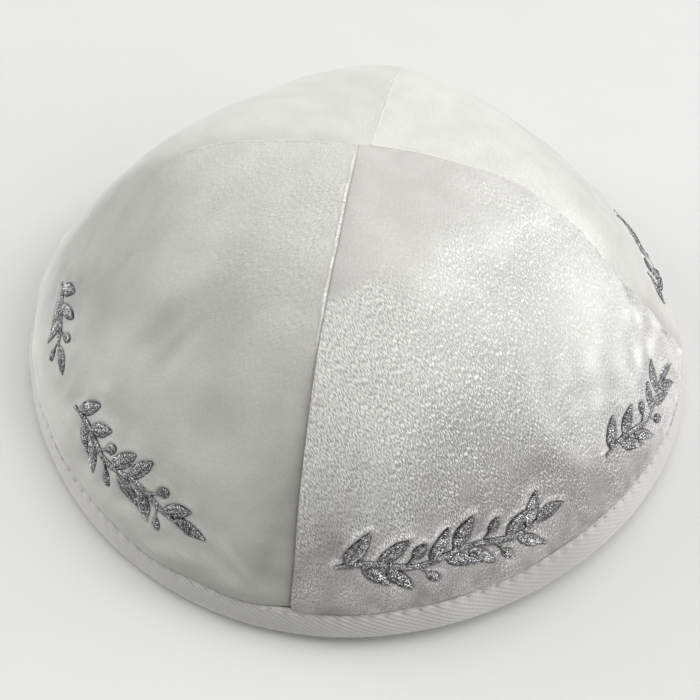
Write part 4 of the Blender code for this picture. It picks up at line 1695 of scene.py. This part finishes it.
def makeTape(material):
    form = tapeForm
    columns = form["columns"]
    azimuths = np.linspace(0.0, 2.0 * math.pi, columns, endpoint=False)
    coarse = np.linspace(0.0, 2.0 * math.pi, form["coarseColumns"] + 1)
    section, over, shownRows = tapeSection()
    length = rimLength()
    along = azimuths / (2.0 * math.pi) * length
    rows = []
    for height, depth in section:
        line = tapeRow(coarse[:-1], height, depth)
        line = np.concatenate([line, line[:1]])
        rows.append(np.stack([np.interp(azimuths, coarse, line[:, k]) for k in range(3)], axis=-1))
    points = np.array(rows)
    heights = section[:, 0]
    place = np.stack([np.cos(azimuths), np.sin(azimuths)], axis=-1) * crownForm["rimRadius"]
    wave = form["wave"] * softNoise(place, form["waveLength"], 71)
    outwards = np.stack([np.cos(azimuths), np.sin(azimuths), 0.0 * azimuths], axis=-1)
    lively = easeStep(heights, *form["waveFrom"])
    points = points + outwards[None] * (wave[None, :] * lively[:, None])[..., None]
    count = len(section)
    vertex = np.arange(count * columns).reshape(count, columns)
    nextRow = np.roll(vertex, -1, axis=0)
    faces = np.stack([
        vertex, nextRow, np.roll(nextRow, -1, axis=1), np.roll(vertex, -1, axis=1),
    ], axis=-1).reshape(-1, 4)
    mesh = bpy.data.meshes.new("rim tape")
    mesh.from_pydata(points.reshape(-1, 3), [], faces.tolist())
    stitchOuter = over - form["stitchDrop"]
    stitchInner = (over[shownRows - 1] - form["stitchDrop"]) - over
    toStitch = np.where(np.abs(stitchOuter) < np.abs(stitchInner), stitchOuter, stitchInner)
    shown = np.zeros(count)
    shown[:shownRows] = 1.0
    shown[[0, shownRows - 1]] = form["edgeShare"]
    flatUnder = (heights < 0.0002) & (np.arange(count) < shownRows)
    shown[flatUnder] = 0.0
    # painted light and shade round the rim: paler at the left and right, greyer at the front
    shade = 0.0 * azimuths
    for spot in tapeLightPlaces:
        shade = shade + spot.shade * roundNearness(azimuths, spot.azimuth, spot.halfWidth)
    strength = form["ribWorn"] + (1.0 - form["ribWorn"]) * roundNearness(azimuths, *form["ribFresh"])
    for name, values in (("overTape", over), ("shownTape", shown), ("toStitchLine", toStitch)):
        setNumbers(mesh, name, np.outer(values, np.ones(columns)))
    for name, values in (("alongTape", along), ("tapeLightAndShade", shade), ("ribStrength", strength)):
        setNumbers(mesh, name, np.outer(np.ones(count), values))
    alongNext = np.append(along[1:], length)
    overNext = np.append(over[1:], over[-1] + form["thickness"])
    corners = np.zeros((count, columns, 4, 2))
    ends = ((along, over), (along, overNext), (alongNext, overNext), (alongNext, over))
    for k, (x, y) in enumerate(ends):
        corners[:, :, k] = np.stack(np.broadcast_arrays(x[None, :], y[:, None]), axis=-1)
    setUv(mesh, "cloth", corners.reshape(-1, 2))
    mesh.shade_smooth()
    tree, ids = tapeTree()
    guide = addPiece("rim tape", mesh)
    piece = solve("rim_binding_twill", guide, tree, {
        ids["Rib Pitch"]: form["ribPitch"],
        ids["Ribs Each Metre"]: form["ribsEach"],
        ids["Rib Height"]: form["ribHeight"],
        ids["Hole Pitch"]: form["holePitch"],
        ids["Hole Depth"]: form["holeDepth"],
        ids["Hole Radius"]: form["holeRadius"],
        ids["Groove Depth"]: form["grooveDepth"],
        ids["Groove Width"]: form["grooveWidth"],
        ids["Pucker Height"]: form["puckerHeight"],
        ids["Pucker Width"]: form["puckerWidth"],
        ids["Material"]: material,
    })
    print("rim binding", len(piece.data.polygons), "faces")
    return piece


def fitTape():
    # whole numbers of ribs and stitches in one turn round the rim
    length = rimLength()
    level = tapeForm["ribPitch"] / math.tan(math.radians(tapeForm["ribSlant"]))
    tapeForm["ribsEach"] = round(length / level) / length
    tapeForm["stitches"] = round(length / tapeForm["stitchPitch"])
    tapeForm["holePitch"] = length / tapeForm["stitches"]


def lockStitchLines():
    # one guide point for each stitch, outside and inside the tape
    form = tapeForm
    count = form["stitches"]
    reach = form["holePitch"] * form["threadReach"]
    turns = 2.0 * math.pi * np.arange(count) / count
    lines = []
    inside = form["height"] - form["innerDrop"] - form["stitchDrop"]
    for height, depth, outside in ((form["height"] - form["stitchDrop"], 0.0, 1.0),
                                   (inside, form["rimThickness"], -1.0)):
        lifted = depth - form["threadLift"] * outside
        place = tapeRow(turns, height, lifted)
        ahead = tapeRow(turns + small, height, lifted) - place
        ahead /= np.linalg.norm(ahead, axis=-1, keepdims=True)
        for i, azimuth in enumerate(turns):
            panel = panelAt(azimuth)
            down = downAtHeight(panel, azimuth, height)
            normal = crownNormal(panel, azimuth, down) * outside
            lines.append([(place[i] - normal * form["threadSink"], ahead[i], normal, reach)])
    return lines


# Threads on the velvet

def borderLines(strokes):
    # guide lines of the satin stitches on the crown
    lines = []
    radius = sprigForm["bandRadius"]
    for line, halfWidth, slant in strokes:
        steps = np.gradient(line, axis=0)
        heading = np.arctan2(steps[:, 1], steps[:, 0]) + math.pi / 2.0 + slant
        across = np.stack([np.cos(heading), np.sin(heading)], axis=-1)
        panel = panelAt(line[0, 0] / radius)

        def onCrown(places):
            azimuth = places[:, 0] / radius
            down = sprigForm["bandDown"] - places[:, 1] / crownForm["slant"]
            before, after = seamDistances(panel, azimuth, down)
            depth = looseDepth(panel, azimuth, down, before, after)
            normal = crownNormal(panel, azimuth, down)
            return crownPoint(panel, azimuth, down) - normal * depth[:, None], normal

        place, normal = onCrown(line)
        ahead, _ = onCrown(line + across * 0.0003)
        towards = ahead - place
        towards /= np.linalg.norm(towards, axis=-1, keepdims=True)
        place = place - normal * sprigForm["threadSink"]
        reach = halfWidth / math.cos(slant)
        lines.append(list(zip(place, towards, normal, reach)))
    return lines


seamThreadForm = {
    "pitch": 0.0024,
    "reach": 0.0015,
    "width": 0.00034,
    "rise": 0.00030,
    "slant": 32.0,
    "arch": 0.8,
    "uneven": 0.10,
    "seed": 19,
    "downShares": (0.05, 0.80),
    "guides": 120,
    "behind": 0.00125,           # the velvet's inner face
}


def seamStitchLines():
    # overcast stitches across each seam on the inside of the crown
    form = seamThreadForm
    lines = []
    for name, degrees in seamAzimuth.items():
        azimuth = math.radians(degrees) + 1e-6
        panel = panelAt(azimuth)
        down = np.linspace(*form["downShares"], form["guides"])
        turned = azimuth + seamWander(name, down) / ringRadius(down)
        place = crownPoint(panel, turned, down)
        normal = crownNormal(panel, turned, down)
        fall = np.gradient(place, axis=0)
        fall /= np.linalg.norm(fall, axis=-1, keepdims=True)
        side = np.cross(normal, fall)
        slant = math.radians(form["slant"])
        across = side * math.cos(slant) + fall * math.sin(slant)
        inside = place - normal * (crownForm["velvet"] + form["behind"])
        lines.append([(inside[i], across[i], -normal[i], form["reach"]) for i in range(len(down))])
    return lines


def main():
    setCamera()
    setLights()
    fitTape()
    nap = napGroup()
    weave = weaveGroup()
    twist = twistGroup()
    wear = fuzzGroup()
    velvet = velvetMaterial(nap, wear)
    backing = backingMaterial(weave, wear)
    twill = twillMaterial(wear, tapeForm)
    silver = silverMaterial(twist, glintGroup())
    cotton = cottonMaterial(twist, wear)
    print("materials made")
    strokes = sprigStrokes()
    field, cell = strokeField(strokes)
    print("border of", len(strokes), "strokes laid out")
    for panel in panels:
        piece = makePanel(panel, field, cell, velvet, backing)
        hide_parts(panel.name)
        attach(piece, "root")
    tape = makeTape(twill)
    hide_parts("rim_binding")
    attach(tape, "root")
    rimLength()
    tree, ids = threadTree()
    border = sewThreads("border_embroidery", borderLines(strokes), tree, ids, {
        "Stitch Pitch": sprigForm["threadPitch"],
        "Thread Width": sprigForm["threadWidth"],
        "Thread Rise": sprigForm["threadRise"],
        "Arch": sprigForm["threadArch"],
        "Uneven": sprigForm["threadUneven"],
        "Guide Points Only": False,
        "Seed": sprigForm["threadSeed"],
    }, silver)
    print("embroidery", len(border.data.polygons), "faces")
    rimStitches = sewThreads("rim_lock_stitches", lockStitchLines(), tree, ids, {
        "Thread Width": tapeForm["threadWidth"],
        "Thread Rise": tapeForm["threadRise"],
        "Arch": tapeForm["threadArch"],
        "Uneven": tapeForm["threadUneven"],
        "Guide Points Only": True,
        "Seed": tapeForm["threadSeed"],
    }, cotton)
    seamStitches = sewThreads("seam_stitches", seamStitchLines(), tree, ids, {
        "Stitch Pitch": seamThreadForm["pitch"],
        "Thread Width": seamThreadForm["width"],
        "Thread Rise": seamThreadForm["rise"],
        "Arch": seamThreadForm["arch"],
        "Uneven": seamThreadForm["uneven"],
        "Guide Points Only": False,
        "Seed": seamThreadForm["seed"],
    }, cotton)
    print("rim stitches", len(rimStitches.data.polygons), "faces")
    print("seam stitches", len(seamStitches.data.polygons), "faces")
    for piece in (border, rimStitches, seamStitches):
        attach(piece, "root")
    makeFloor(wear)
    print("scene finished")


main()
